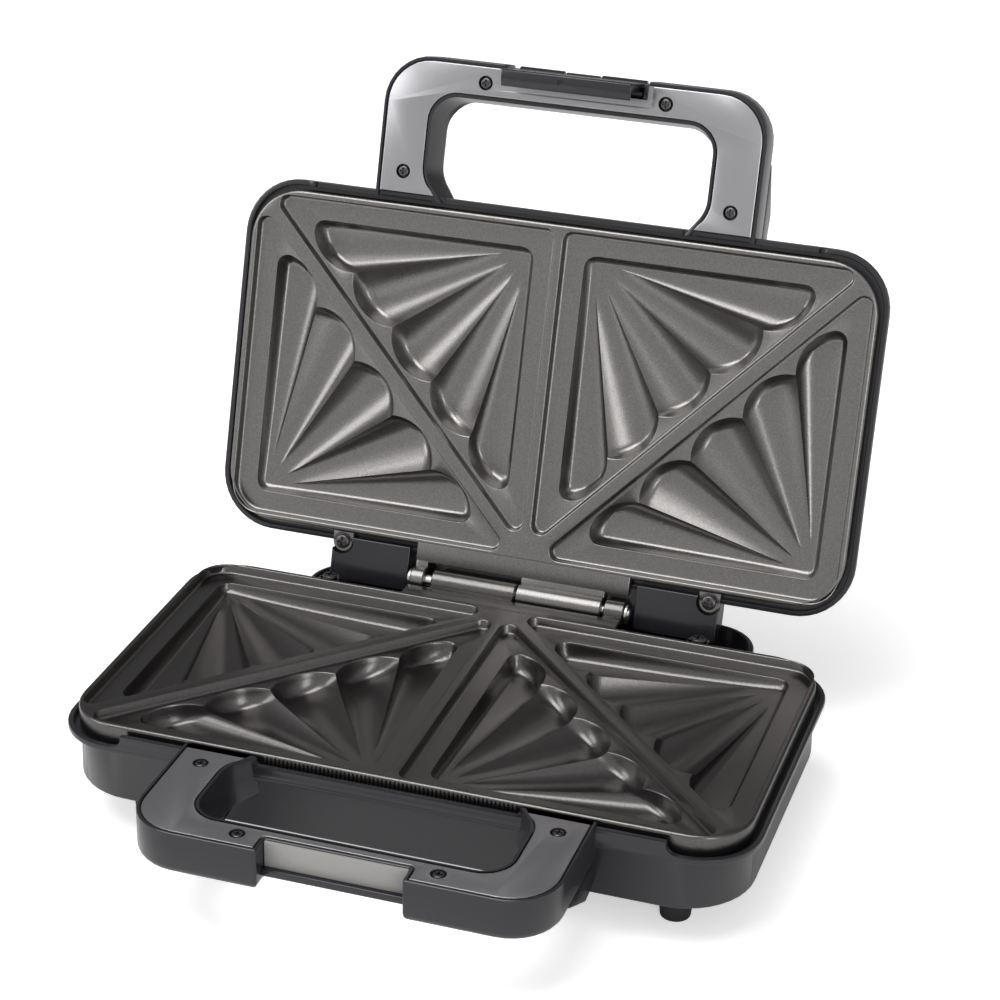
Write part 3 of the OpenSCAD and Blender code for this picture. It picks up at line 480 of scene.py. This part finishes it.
# The barrels on the hinge axis, each with the foot that joins it to the plate's tab.
def knuckles(solid, spans, axisZ):
    r = barrels["r"]
    for x0, length in spans:
        solid.add(turned([(r - 0.5, 0), (r, 0.5), (r, length - 0.5), (r - 0.5, length)]),
                  alongX(x0, hingeAt.y, axisZ))
        solid.add(block((x0 + 0.3, tabEnd - 1, rimZ - 3), (x0 + length - 0.3, hingeAt.y, rimZ), 0.5))


def plateHardware(solid):
    half = barrels["ring"] + barrels["lowerRing"]
    solid.add(block((-half, casting["y"] - 2, rimZ - 3), (half, tabEnd, rimZ), 0.6, 3))
    for x in (-ear["x"], ear["x"]):
        solid.add(turned([(ear["r"] - 0.4, ear["top"]), (ear["r"], ear["top"] - 0.4),
                          (ear["r"], ear["top"] - ear["t"])]), Matrix.Translation((x, ear["y"], 0)))
        solid.add(block((x - ear["r"], casting["y"] - 1, ear["top"] - ear["t"]),
                        (x + ear["r"], ear["y"], ear["top"]), 0.3))


def lowerPlate():
    solid = castingSolid()
    plateHardware(solid)
    knuckles(solid, [(-barrels["long"] - 0.5, barrels["long"]), (barrels["ring"], barrels["lowerRing"])],
             hingeAt.z)
    piece("lowerPlate", solid, basePlace, nonstickPaintedShade, "base", ["lower_plate"], 40)


# Drawn turned over, so here the hinge axis lies above the parting plane.
def upperPlate():
    solid = castingSolid()
    plateHardware(solid)
    ringStart = -barrels["ring"] - barrels["lowerRing"]
    knuckles(solid, [(0, barrels["long"]), (ringStart, barrels["upperRing"])], -hingeAt.z)
    piece("upperPlate", solid, lidPlace, nonstick, "lid", ["upper_plate"], 40)


lowerPlate()
upperPlate()
print("stage: plates")


def lipRing(inX, inY, radius):
    return rectangle(lip["x"] - inX, lip["y"] - inY, radius, 10)


# Levels of the curve by which a housing draws in from its upright walls to its flat.
def crown(shell, inX, inY, steps=10):
    levels = []
    by, down = shell["bend"]
    for i in range(1, steps + 1):
        t = i / steps
        inset = 2 * (1 - t) * t * by + t * t * shell["drawIn"]
        z = (1 - t) ** 2 * shell["wallZ"] + 2 * (1 - t) * t * (shell["wallZ"] - down) + t * t * shell["depth"]
        levels.append((lipRing(inX + inset, inY + inset, 28 - 4 * t), z))
    return levels


shellWall = 2.2
baseShell = {"side": 3.2, "front": 1.2, "wallZ": -30.4, "depth": -36, "drawIn": 16, "bend": (9, 3.6),
             "lipZ": -7, "coverX": 92.8, "coverY": 54, "coverR": 18}
lidShell = {"side": 1.5, "front": 1.9, "draft": 3.7, "wallZ": -28.5, "depth": -44, "drawIn": 16,
            "bend": (1.5, 12), "lipZ": -3.5}


# The rounded lip, from the inside of its edge round to the underside.
def lipLevels(top):
    edge = [(2.3, 21.7, -2.2), (2.3, 21.7, -0.3), (2, 22, 0), (0.55, 23.4, 0), (0.15, 23.8, -0.15),
            (0, 24, -0.5), (0, 24, -2), (0.15, 23.8, -2.35), (0.5, 23.5, -2.5)]
    return [(lipRing(inset, inset, radius), top + z) for inset, radius, z in edge]


def basePan():
    s = baseShell
    solid = Solid()
    cover = rectangle(s["coverX"], s["coverY"], s["coverR"], 10)
    opening = rectangle(s["coverX"] - 5, s["coverY"] - 5, s["coverR"] - 5, 10)
    outside = [(lipRing(s["side"] - 0.3, s["front"] - 0.3, 28), s["lipZ"] - 2.55),
               (lipRing(s["side"], s["front"], 29), s["lipZ"] - 3.2),
               (lipRing(s["side"], s["front"], 28), s["wallZ"] + 0.8),
               (lipRing(s["side"] + 0.25, s["front"] + 0.25, 28), s["wallZ"] + 0.2)]
    inside = [(opening, s["depth"] + 2.2), (lipRing(s["side"] + 16, s["front"] + 16, 22), s["depth"] + 2.4),
              (lipRing(s["side"] + shellWall, s["front"] + shellWall, 28), s["wallZ"]),
              (lipRing(s["side"] + shellWall, s["front"] + shellWall, 26), s["lipZ"] - 2.2)]
    seat = [(cover, s["depth"]), (cover, s["depth"] + 1.3), (opening, s["depth"] + 1.3)]
    levels = [*lipLevels(s["lipZ"]), *outside, *crown(s, s["side"], s["front"]), *seat, *inside]
    solid.loft(levels, False)
    return solid


def lidPan():
    s = lidShell
    solid = Solid()
    low = s["side"] + s["draft"], s["front"] + s["draft"]
    outside = [(lipRing(s["side"] - 0.2, s["front"] - 0.2, 25), s["lipZ"] - 2.6),
               (lipRing(s["side"], s["front"], 26), s["lipZ"] - 3.2), (lipRing(*low, 28), s["wallZ"])]
    inside = [(lipRing(low[0] + 17, low[1] + 17, 22), s["depth"] + 2.4),
              (lipRing(low[0] + 6, low[1] + 6, 26), s["wallZ"] - 9),
              (lipRing(low[0] + shellWall, low[1] + shellWall, 28), s["wallZ"]),
              (lipRing(s["side"] + shellWall, s["front"] + shellWall, 24), s["lipZ"] - 2.2)]
    solid.loft([*inside, *lipLevels(s["lipZ"]), *outside, *crown(s, *low)])
    return solid


heel = {"x": 101.5, "left": 94, "y": 105.5, "r": 19.5, "rim": -9, "well": -18, "bottom": -36, "front": 71}


def heelRing(inset, front=0):
    x, left, y, start = heel["x"] - inset, heel["left"] - inset, heel["y"] - inset, heel["front"] + front
    return rounded(flat([(x, start), (x, y), (-left, y), (-left, start)]),
                   [0.1, heel["r"] - inset, heel["r"] - inset, 0.1], 0, 10)


# The box behind the base, open on top for the lid's hinge blocks.
def heelPan():
    solid = Solid()
    wall = shellWall
    solid.loft([(heelRing(5, -12), heel["bottom"]), (heelRing(2, -12), heel["bottom"] + 0.9),
                (heelRing(0.5, -12), heel["bottom"] + 3), (heelRing(0, -12), heel["bottom"] + 6),
                (heelRing(0), heel["rim"] - 1), (heelRing(0.3), heel["rim"] - 0.3),
                (heelRing(1), heel["rim"]),
                (heelRing(wall - 0.4, 3), heel["rim"]), (heelRing(wall, 3), heel["rim"] - 0.4),
                (heelRing(wall, 3), heel["well"] + 1), (heelRing(wall + 1, 4), heel["well"])])
    return solid


handle = {"x": 81.5, "y": -133, "r": 20, "back": -72, "trayY": -73.4, "coverY": -76, "finger": 60, "root": 52,
          "turn": -84.5, "turnR": 14, "fingerY": -117.5, "fingerR": 11, "notchY": -124.5, "edge": 1.25,
          "gap": 0.6, "baseNotch": 27.7, "lidNotch": 30.5}


# Plan of a loop handle, open towards the housing. The opening may have its own inset.
def handleRing(inset, notchHalf, rootY, inner=None):
    h = handle
    more = 0 if inner is None else inset - inner
    finger, root, fingerY = h["finger"] - more, h["root"] - more, h["fingerY"] + more
    points = flat([(h["x"], h["y"]), (h["x"], h["back"]), (root, h["back"]), (finger, h["turn"]),
                   (finger, fingerY), (-finger, fingerY), (-finger, h["turn"]),
                   (-root, h["back"]), (-h["x"], h["back"]), (-h["x"], h["y"]), (-notchHalf, h["y"]),
                   (-notchHalf, h["notchY"]), (notchHalf, h["notchY"]), (notchHalf, h["y"])])
    radii = [h["r"], 0.05, 0.05, h["turnR"], h["fingerR"], h["fingerR"], h["turnR"], 0.05, 0.05, h["r"],
             0.9, 0.9, 0.9, 0.9]
    loop = rounded(points, radii, inset, 8)
    limit = h["back"] - 1.7 - inset
    return [Vector((p.x, rootY)) if p.y > limit else p for p in loop]


# The handle's moulded tray with a groove round its cover.
def handleTray(notchHalf):
    solid = Solid()
    edge = handle["edge"]
    side = [(4.5, -17.5, -1.2), (2.6, -17.35, -1.7), (1.2, -16.7, -1.9), (0.35, -15.6, -1.8), (0, -14, -1.6),
            (0, -0.75, 0), (0.12, -0.35, 0.12), (0.4, rimZ, 0.4), (edge, rimZ, edge), (edge, -1.7, edge),
            (edge + 1.4, -1.7, edge + 1.4), (edge + 1.4, -3.4, edge + 1.4)]
    solid.loft([(handleRing(inset, notchHalf, handle["trayY"], inner), z) for inset, z, inner in side])
    return solid


def handleCover(notchHalf):
    solid = Solid()
    start = handle["edge"] + handle["gap"]
    side = [(start, -2.3), (start, -0.6), (start + 0.12, -0.3), (start + 0.45, rimZ)]
    solid.loft([(handleRing(inset, notchHalf, handle["coverY"]), z) for inset, z in side])
    return solid


gusset = {"from": 63, "to": 81.2,
          "section": [(-73.5, -16.5), (-73.5, -26), (-84, -28), (-105, -17.6), (-105, -16.5)]}


def gussets(solid):
    bothSides(solid, prism(gusset["section"], gusset["from"], gusset["to"], 0.8, 3))


hole = {"r": 3.05, "seat": -1.3}
handleScrew = {"r": 2.2, "height": 1.2}
earScrew = {"r": 3, "height": 1.55}
screwSpots = [(70.1, -84.6), (38.3, -124.6)]


# Takes one solid out of another with a boolean.
def cutWith(solid, cutter):
    meshes = []
    for part in (solid, cutter):
        part.weld()
        bmesh.ops.recalc_face_normals(part.bm, faces=part.bm.faces)
        meshes.append(bpy.data.meshes.new("cutting"))
        part.bm.to_mesh(meshes[-1])
    objects = [bpy.data.objects.new("cutting", mesh) for mesh in meshes]
    for o in objects:
        bpy.context.scene.collection.objects.link(o)
    cut = objects[0].modifiers.new("cut", "BOOLEAN")
    cut.object = objects[1]
    cut.solver = "EXACT"
    cut.use_self = True
    graph = bpy.context.evaluated_depsgraph_get()
    meshes.append(bpy.data.meshes.new_from_object(objects[0].evaluated_get(graph)))
    for o in objects:
        bpy.data.objects.remove(o)
    result = Solid()
    result.bm.from_mesh(meshes[-1])
    for mesh in meshes:
        bpy.data.meshes.remove(mesh)
    return result


# Round cutters that stand on given spots.
def drills(spots, radius, low, high):
    solid = Solid()
    for x, y in spots:
        solid.add(turned([(radius, low), (radius, high)], 40), Matrix.Translation((x, y, 0)))
    return solid


handleSpots = [(side * x, y) for x, y in screwSpots for side in (1, -1)]
raised = {"half": 112, "middle": 52, "top": -1.8, "middleTop": -2.9, "y": -75.48, "t": 2.2, "r": 4.2,
          "foot": 2.6}


# The wall that stands up in front of the plate. It is lower between the handle's arms.
def raisedFront(solid, low):
    r, half, middle = raised["r"], raised["half"], raised["middle"]
    curve = [(half - r * math.sin(a), low + raised["foot"] + r * (1 - math.cos(a)))
             for a in (math.pi / 2 * i / 8 for i in range(9))]
    top = raised["top"]
    side = [(half + 0.3, low), (half + 0.3, low + raised["foot"]), *curve[1:-1], (half - r, top),
            (middle, top), (middle - 1.2, raised["middleTop"])]
    loop = flat(side + [(-x, z) for x, z in reversed(side)])
    wall = Solid()
    y, t = raised["y"], raised["t"]
    wall.loft([(loop, y), (loop, y + t)])
    solid.add(bevelled(wall, 0.2, 2, 50), Matrix(((1, 0, 0, 0), (0, 0, 1, 0), (0, 1, 0, 0), (0, 0, 0, 1))))


def baseHousing():
    solid = basePan()
    solid.add(heelPan())
    solid.add(handleTray(handle["baseNotch"]))
    gussets(solid)
    raisedFront(solid, baseShell["lipZ"] - 2.5)
    solid.add(block((-handle["baseNotch"], -127.9, -14), (handle["baseNotch"], -124, -11), 0.5, 3))
    piece("basePan", solid, basePlace, gloss, "base", ["base_housing"])


hingeBlock = {"from": 50, "to": 85,
              "section": [(73, -0.55), (91, -0.55), (92, -1.5), (92, -9), (87, -14), (73, -14)]}
knuckleRoof = ((-50.5, 72, -8), (50.5, 91.8, -5.8))


# The cheeks, back and floor of the lid's notch.
def notchWalls(solid):
    half = handle["lidNotch"] + 0.1
    bothSides(solid, block((half - 2.2, -131.8, -16.5), (half + 0.2, -124.2, -1.2), 0.3))
    solid.add(block((-half, -125.3, -16.9), (half, -122.6, -1.4), 0.3))
    solid.add(block((-half, -129.5, -16.9), (half, -123, -14.8), 0.3))


def lidHousing():
    solid = lidPan()
    solid.add(handleTray(handle["lidNotch"]))
    gussets(solid)
    part = prism(hingeBlock["section"], hingeBlock["from"], hingeBlock["to"], 0.5, 3)
    cut = cutWith(part, drills([(ear["x"], ear["y"])], ear["r"] + 0.7, ear["top"] - ear["t"], 1))
    bothSides(solid, cut)
    solid.add(block(*knuckleRoof, 0.4))
    raisedFront(solid, lidShell["lipZ"] - 2.5)
    notchWalls(solid)
    piece("lidPan", solid, lidPlace, gloss, "lid", ["lid_housing"])


# The lid cover's edge round the lever. It lies on the tray's rim.
def notchLip():
    x, front, edge, back = handle["lidNotch"] + 0.1, -131.15, -125.4, -122.4
    wide = x + 2
    loop = flat([(-wide, front), (-x, front), (-x, edge), (x, edge), (x, front), (wide, front),
                 (wide, back), (-wide, back)])
    solid = Solid()
    solid.loft([(loop, -0.9), (loop, rimZ + 0.03)])
    return solid


def covers():
    for name, place, half, body, node, slot in (
            ("baseCover", basePlace, handle["baseNotch"], "base", "base_handle_cover", "base_cover_plastic"),
            ("lidCover", lidPlace, handle["lidNotch"], "lid", "lid_handle_cover", "lid_cover_plastic")):
        solid = cutWith(handleCover(half), drills(handleSpots, hole["r"], -4, 1))
        if body == "lid":
            solid.add(notchLip())
        piece(name, solid, place, satin, body, [node])


baseHousing()
lidHousing()
covers()
print("stage: housings and handles")


def pieceMesh(name, solid):
    bmesh.ops.recalc_face_normals(solid.bm, faces=solid.bm.faces)
    mesh = bpy.data.meshes.new(name)
    solid.bm.to_mesh(mesh)
    solid.bm.free()
    mesh.set_sharp_from_angle(angle=math.radians(35))
    return mesh


# A node group that sets a copy of one object on each given point.
def scatterGroup():
    tree = bpy.data.node_groups.new("scatter", "GeometryNodeTree")
    sockets = [("Points", "INPUT", "NodeSocketGeometry"), ("Piece", "INPUT", "NodeSocketObject"),
               ("Scale", "INPUT", "NodeSocketFloat"), ("Finish", "INPUT", "NodeSocketMaterial"),
               ("Geometry", "OUTPUT", "NodeSocketGeometry")]
    for name, way, kind in sockets:
        tree.interface.new_socket(name=name, in_out=way, socket_type=kind)
    start = tree.nodes.new("NodeGroupInput")
    source = tree.nodes.new("GeometryNodeObjectInfo")
    copies = tree.nodes.new("GeometryNodeInstanceOnPoints")
    real = tree.nodes.new("GeometryNodeRealizeInstances")
    finish = tree.nodes.new("GeometryNodeSetMaterial")
    end = tree.nodes.new("NodeGroupOutput")
    tree.links.new(start.outputs["Points"], copies.inputs["Points"])
    tree.links.new(start.outputs["Piece"], source.inputs["Object"])
    tree.links.new(start.outputs["Scale"], copies.inputs["Scale"])
    tree.links.new(source.outputs["Geometry"], copies.inputs["Instance"])
    tree.links.new(copies.outputs["Instances"], real.inputs["Geometry"])
    tree.links.new(real.outputs["Geometry"], finish.inputs["Geometry"])
    tree.links.new(start.outputs["Finish"], finish.inputs["Material"])
    tree.links.new(finish.outputs["Geometry"], end.inputs["Geometry"])
    return tree


scatterTree = scatterGroup()


# Sets copies of a solid on points with geometry nodes, and keeps them as one plain mesh.
def scatter(name, solid, points, place, finish, body, nodes):
    source = bpy.data.objects.new(name + "Source", pieceMesh(name + "Source", solid))
    spots = bpy.data.meshes.new(name + "Points")
    spots.from_pydata([tuple(p) for p in points], [], [])
    holder = bpy.data.objects.new(name + "Holder", spots)
    for o in (source, holder):
        bpy.context.scene.collection.objects.link(o)
    modifier = holder.modifiers.new("scatter", "NODES")
    modifier.node_group = scatterTree
    inputs = {item.name: item.identifier for item in scatterTree.interface.items_tree
              if item.in_out == "INPUT"}
    modifier[inputs["Piece"]] = source
    modifier[inputs["Scale"]] = 1.0
    modifier[inputs["Finish"]] = finish
    made = bpy.data.meshes.new_from_object(holder.evaluated_get(bpy.context.evaluated_depsgraph_get()))
    for o in (source, holder):
        bpy.data.objects.remove(o)
    copies = Solid()
    copies.bm.from_mesh(made)
    bpy.data.meshes.remove(made)
    return piece(name, copies, place, finish, body, nodes)


# A pan head with a cross recess, its underside at z = 0, on the boss that it is driven into.
def screwSolid(r, height):
    solid = turned([(r - 0.1, -2.05), (r - 0.05, -0.1), (r, 0), (r, height * 0.45),
                    (r * 0.93, height * 0.75), (r * 0.75, height * 0.95), (r * 0.45, height)], 32)
    cross = Solid()
    arm, half = r * 0.66, r * 0.17
    for x, y in ((arm, half), (half, arm)):
        cross.add(block((-x, -y, height * 0.1), (x, y, height + 1), 0.05, 1))
    return cutWith(solid, cross)


def screws():
    points = [(x, y, hole["seat"]) for x, y in handleSpots]
    ears = [(x, ear["y"], ear["top"]) for x in (-ear["x"], ear["x"])]
    for side, place in (("base", basePlace), ("lid", lidPlace)):
        plate = "lower_plate_screws" if side == "base" else "upper_plate_screws"
        scatter(side + "HandleScrews", screwSolid(**handleScrew), points, place, screwSteel, side,
                [side + "_handle_screws"])
        scatter(side + "EarScrews", screwSolid(**earScrew), ears, place, screwSteel, side, [plate])


ribRow = {"count": 61, "pitch": 1.65, "top": -0.75}


# The row of small ribs under the lower plate's front rim.
def ribs():
    count, pitch, top = ribRow["count"], ribRow["pitch"], ribRow["top"]
    points = [(pitch * (i - (count - 1) / 2), -casting["y"] - 0.1, top) for i in range(count)]
    scatter("plateRibs", block((-0.42, -0.55, -3.2), (0.42, 0.3, 0), 0.12), points, basePlace, nonstick,
            "base", ["lower_plate"])


screws()
ribs()
print("stage: screws and ribs")


latch = {"half": 27.2, "y": -129.9, "t": 3.6, "z": 11, "eye": 3, "pin": 1.5, "hook": -14.3, "reach": 3.3,
         "hookT": 1.8, "rise": 2.8, "backRib": (5, 11.5, 2.2), "gapHalf": 8}


# Drawn closed, with its eye above and its hook below the parting plane.
def latchLever():
    x, y, t = latch["half"], latch["y"], latch["t"] / 2
    back, hook, low = y + t, latch["hook"], latch["hook"] - latch["hookT"]
    top = latch["z"] + latch["rise"]
    ribLow, ribHigh, ribT = latch["backRib"]
    section = [(y - t, top), (y - t, low + 0.6), (y - t + 0.6, low), (back + 0.2, low),
               (back + latch["reach"], hook - 0.6), (back + latch["reach"], hook), (back, hook),
               (back, top - 6.5), (y - t + 1.3, top - 6), (y - t + 0.8, top)]
    solid = prism(section, -x, x, 0.35, 3)
    for side in (-1, 1):
        start, end = sorted((side * latch["gapHalf"], side * x))
        r = latch["eye"]
        solid.add(turned([(r - 0.3, 0), (r, 0.3), (r, end - start - 0.3), (r - 0.3, end - start)], 32),
                  alongX(start, y, latch["z"]))
    solid.add(block((0.2 - x, back - 0.5, ribLow), (x - 0.2, back + ribT, ribHigh), 0.5))
    solid = cutWith(solid, prism([(back - 1.6, low - 1), (back + 0.6, low - 1), (back + 0.6, low + 1.2),
                                  (back - 1.6, low + 1.2)], -3.2, -0.8, 0.05))
    piece("latchLever", solid, closedPlace, gloss, "latch", ["latch_lever"])


def latchPin():
    length, r = 2 * handle["lidNotch"] + 3.4, latch["pin"]
    solid = Solid()
    solid.add(turned([(r - 0.2, 0), (r, 0.2), (r, length - 0.2), (r - 0.2, length)], 24),
              alongX(-length / 2, latch["y"], latch["z"]))
    piece("latchPin", solid, closedPlace, screwSteel, "lid", ["latch_pin"])


def hingePin():
    solid = Solid()
    length, r = 98, barrels["bore"] - 0.1
    solid.add(turned([(r - 0.4, 0), (r, 0.4), (r, length - 0.4), (r - 0.4, length)], 32),
              alongX(-length / 2, hingeAt.y, hingeAt.z))
    piece("hingePin", solid, basePlace, steel, "base", ["hinge_pin"])


strikerBox = ((-27.5, -125.7, -11), (27.5, -124.5, -0.55))


def striker():
    solid = block(*strikerBox, 0.25)
    piece("striker", solid, basePlace, lightGrey, "base", ["latch_striker"])


footSpots = [(107.2, -51.6), (84, 88)]
lensAt = (10, -44, -44)


def feet():
    solid = Solid()
    shape = [(5.2, -48), (5.7, -47.8), (5.9, -47.3), (6.9, -36.1)]
    for x, y in footSpots:
        bothSides(solid, movedBy(turned(shape), (x, y, 0)))
    piece("feet", solid, basePlace, rubber, "base", ["feet"])


def lenses():
    dome = turned([(3.6, 0), (3.6, -0.2), (3.2, -0.45), (2.2, -0.7), (1.0, -0.82)], 32)
    bezel = turned([(4.6, 0.4), (4.6, -0.25), (4.3, -0.4), (3.8, -0.4), (3.6, -0.2)], 32)
    for name, solid, finish in (("lenses", dome, redLens), ("lensRings", bezel, gloss)):
        both = Solid()
        bothSides(both, movedBy(solid, lensAt))
        piece(name, both, lidPlace, finish, "lid", ["indicator_lenses"])


latchLever()
latchPin()
hingePin()
striker()
feet()
lenses()
print("stage: latch, hinge and small pieces")

plainFinish = {
    "bottom_cover": matt, "cord_gland": matt, "hinge_pin_clips": steel, "thermostat": steel,
    "lower_reflector": steel, "upper_reflector": steel, "lower_element": tinted, "upper_element": tinted,
    "lower_reflector_screws": screwSteel, "upper_reflector_screws": screwSteel, "bottom_screws": screwSteel,
    "latch_spring": screwSteel, "thermal_fuse": cream, "terminal_block": cream, "base_wiring": sleeve,
    "lid_wiring": sleeve, "indicator_lamps": amber}
for node, finish in plainFinish.items():
    mesh = frame["nodes"][node].data
    mesh.materials.clear()
    mesh.materials.append(finish)


view = {"lens": 100.17, "sensor": 36, "reach": 20, "at": (305.9, -902.0, 546.3), "azimuth": 17.68,
        "elevation": 25.94, "roll": 1.22}


def camera():
    data = bpy.data.cameras.new("camera")
    data.lens = view["lens"]
    data.sensor_width = view["sensor"]
    data.clip_end = view["reach"]
    made = bpy.data.objects.new("camera", data)
    bpy.context.scene.collection.objects.link(made)
    azimuth, elevation, roll = (math.radians(view[a]) for a in ("azimuth", "elevation", "roll"))
    ahead = Vector((-math.sin(azimuth) * math.cos(elevation), math.cos(azimuth) * math.cos(elevation),
                    -math.sin(elevation)))
    right = ahead.cross(Vector((0, 0, 1))).normalized()
    up = right.cross(ahead)
    across = right * math.cos(roll) + up * math.sin(roll)
    upward = up * math.cos(roll) - right * math.sin(roll)
    turn = Matrix((across, upward, -ahead)).transposed().to_4x4()
    made.matrix_world = Matrix.Translation(mm * (Vector(view["at"]) + rowShift)) @ turn
    bpy.context.scene.camera = made


# The floor's own light, which only the camera sees.
glow = 0.5


def floor():
    mesh = bpy.data.meshes.new("floor")
    size = 6
    corners = [(-size, -size, 0), (size, -size, 0), (size, size, 0), (-size, size, 0)]
    mesh.from_pydata(corners, [], [(0, 1, 2, 3)])
    made = bpy.data.objects.new("floor", mesh)
    bpy.context.scene.collection.objects.link(made)
    finish = bpy.data.materials.new("floor")
    finish.use_nodes = True
    nodes, links = finish.node_tree.nodes, finish.node_tree.links
    shader = nodes["Principled BSDF"]
    shader.inputs["Base Color"].default_value = (0.9, 0.9, 0.9, 1)
    shader.inputs["Roughness"].default_value = 0.9
    shader.inputs["Specular IOR Level"].default_value = 0
    ray = nodes.new("ShaderNodeLightPath")
    seen = nodes.new("ShaderNodeMath")
    seen.operation = "MULTIPLY"
    seen.inputs[1].default_value = glow
    links.new(ray.outputs["Is Camera Ray"], seen.inputs[0])
    links.new(seen.outputs["Value"], shader.inputs["Emission Strength"])
    shader.inputs["Emission Color"].default_value = (1, 1, 1, 1)
    mesh.materials.append(finish)


# Each lamp's place, width and height in metres and its power. All are aimed at the same point.
lamps = {"key": ((-0.35, -0.45, 1.6), 1.2, 1.2, 20), "left": ((-1.2, -0.75, 0.75), 0.7, 0.7, 5),
         "right": ((0.95, -1.15, 0.5), 0.5, 0.7, 4)}
aim = Vector((0, 0, 0.1))
# The surroundings' brightness by direction: dim behind the object and bright in front of it.
skyShade = {"From Min": 0.55, "From Max": -0.75, "To Min": 0.22, "To Max": 0.76}


def area(name, at, width, height, power):
    data = bpy.data.lights.new(name, "AREA")
    data.shape = "RECTANGLE"
    data.size, data.size_y = width, height
    data.energy = power
    made = bpy.data.objects.new(name, data)
    bpy.context.scene.collection.objects.link(made)
    made.location = at
    made.rotation_mode = "QUATERNION"
    made.rotation_quaternion = (aim - Vector(at)).to_track_quat("-Z", "Y")


def surroundings():
    world = bpy.data.worlds.new("studio")
    world.use_nodes = True
    nodes, links = world.node_tree.nodes, world.node_tree.links
    where = nodes.new("ShaderNodeTexCoord")
    parts = nodes.new("ShaderNodeSeparateXYZ")
    shade = nodes.new("ShaderNodeMapRange")
    shade.interpolation_type = "SMOOTHSTEP"
    for name, value in skyShade.items():
        shade.inputs[name].default_value = value
    light = nodes["Background"]
    light.inputs["Color"].default_value = (1, 1, 1, 1)
    links.new(where.outputs["Generated"], parts.inputs["Vector"])
    links.new(parts.outputs["Y"], shade.inputs["Value"])
    links.new(shade.outputs["Result"], light.inputs["Strength"])
    bpy.context.scene.world = world
    for name, (at, width, height, power) in lamps.items():
        area(name, at, width, height, power)


camera()
floor()
surroundings()
bpy.context.scene.view_settings.view_transform = "Standard"
print("stage: camera, floor and light")
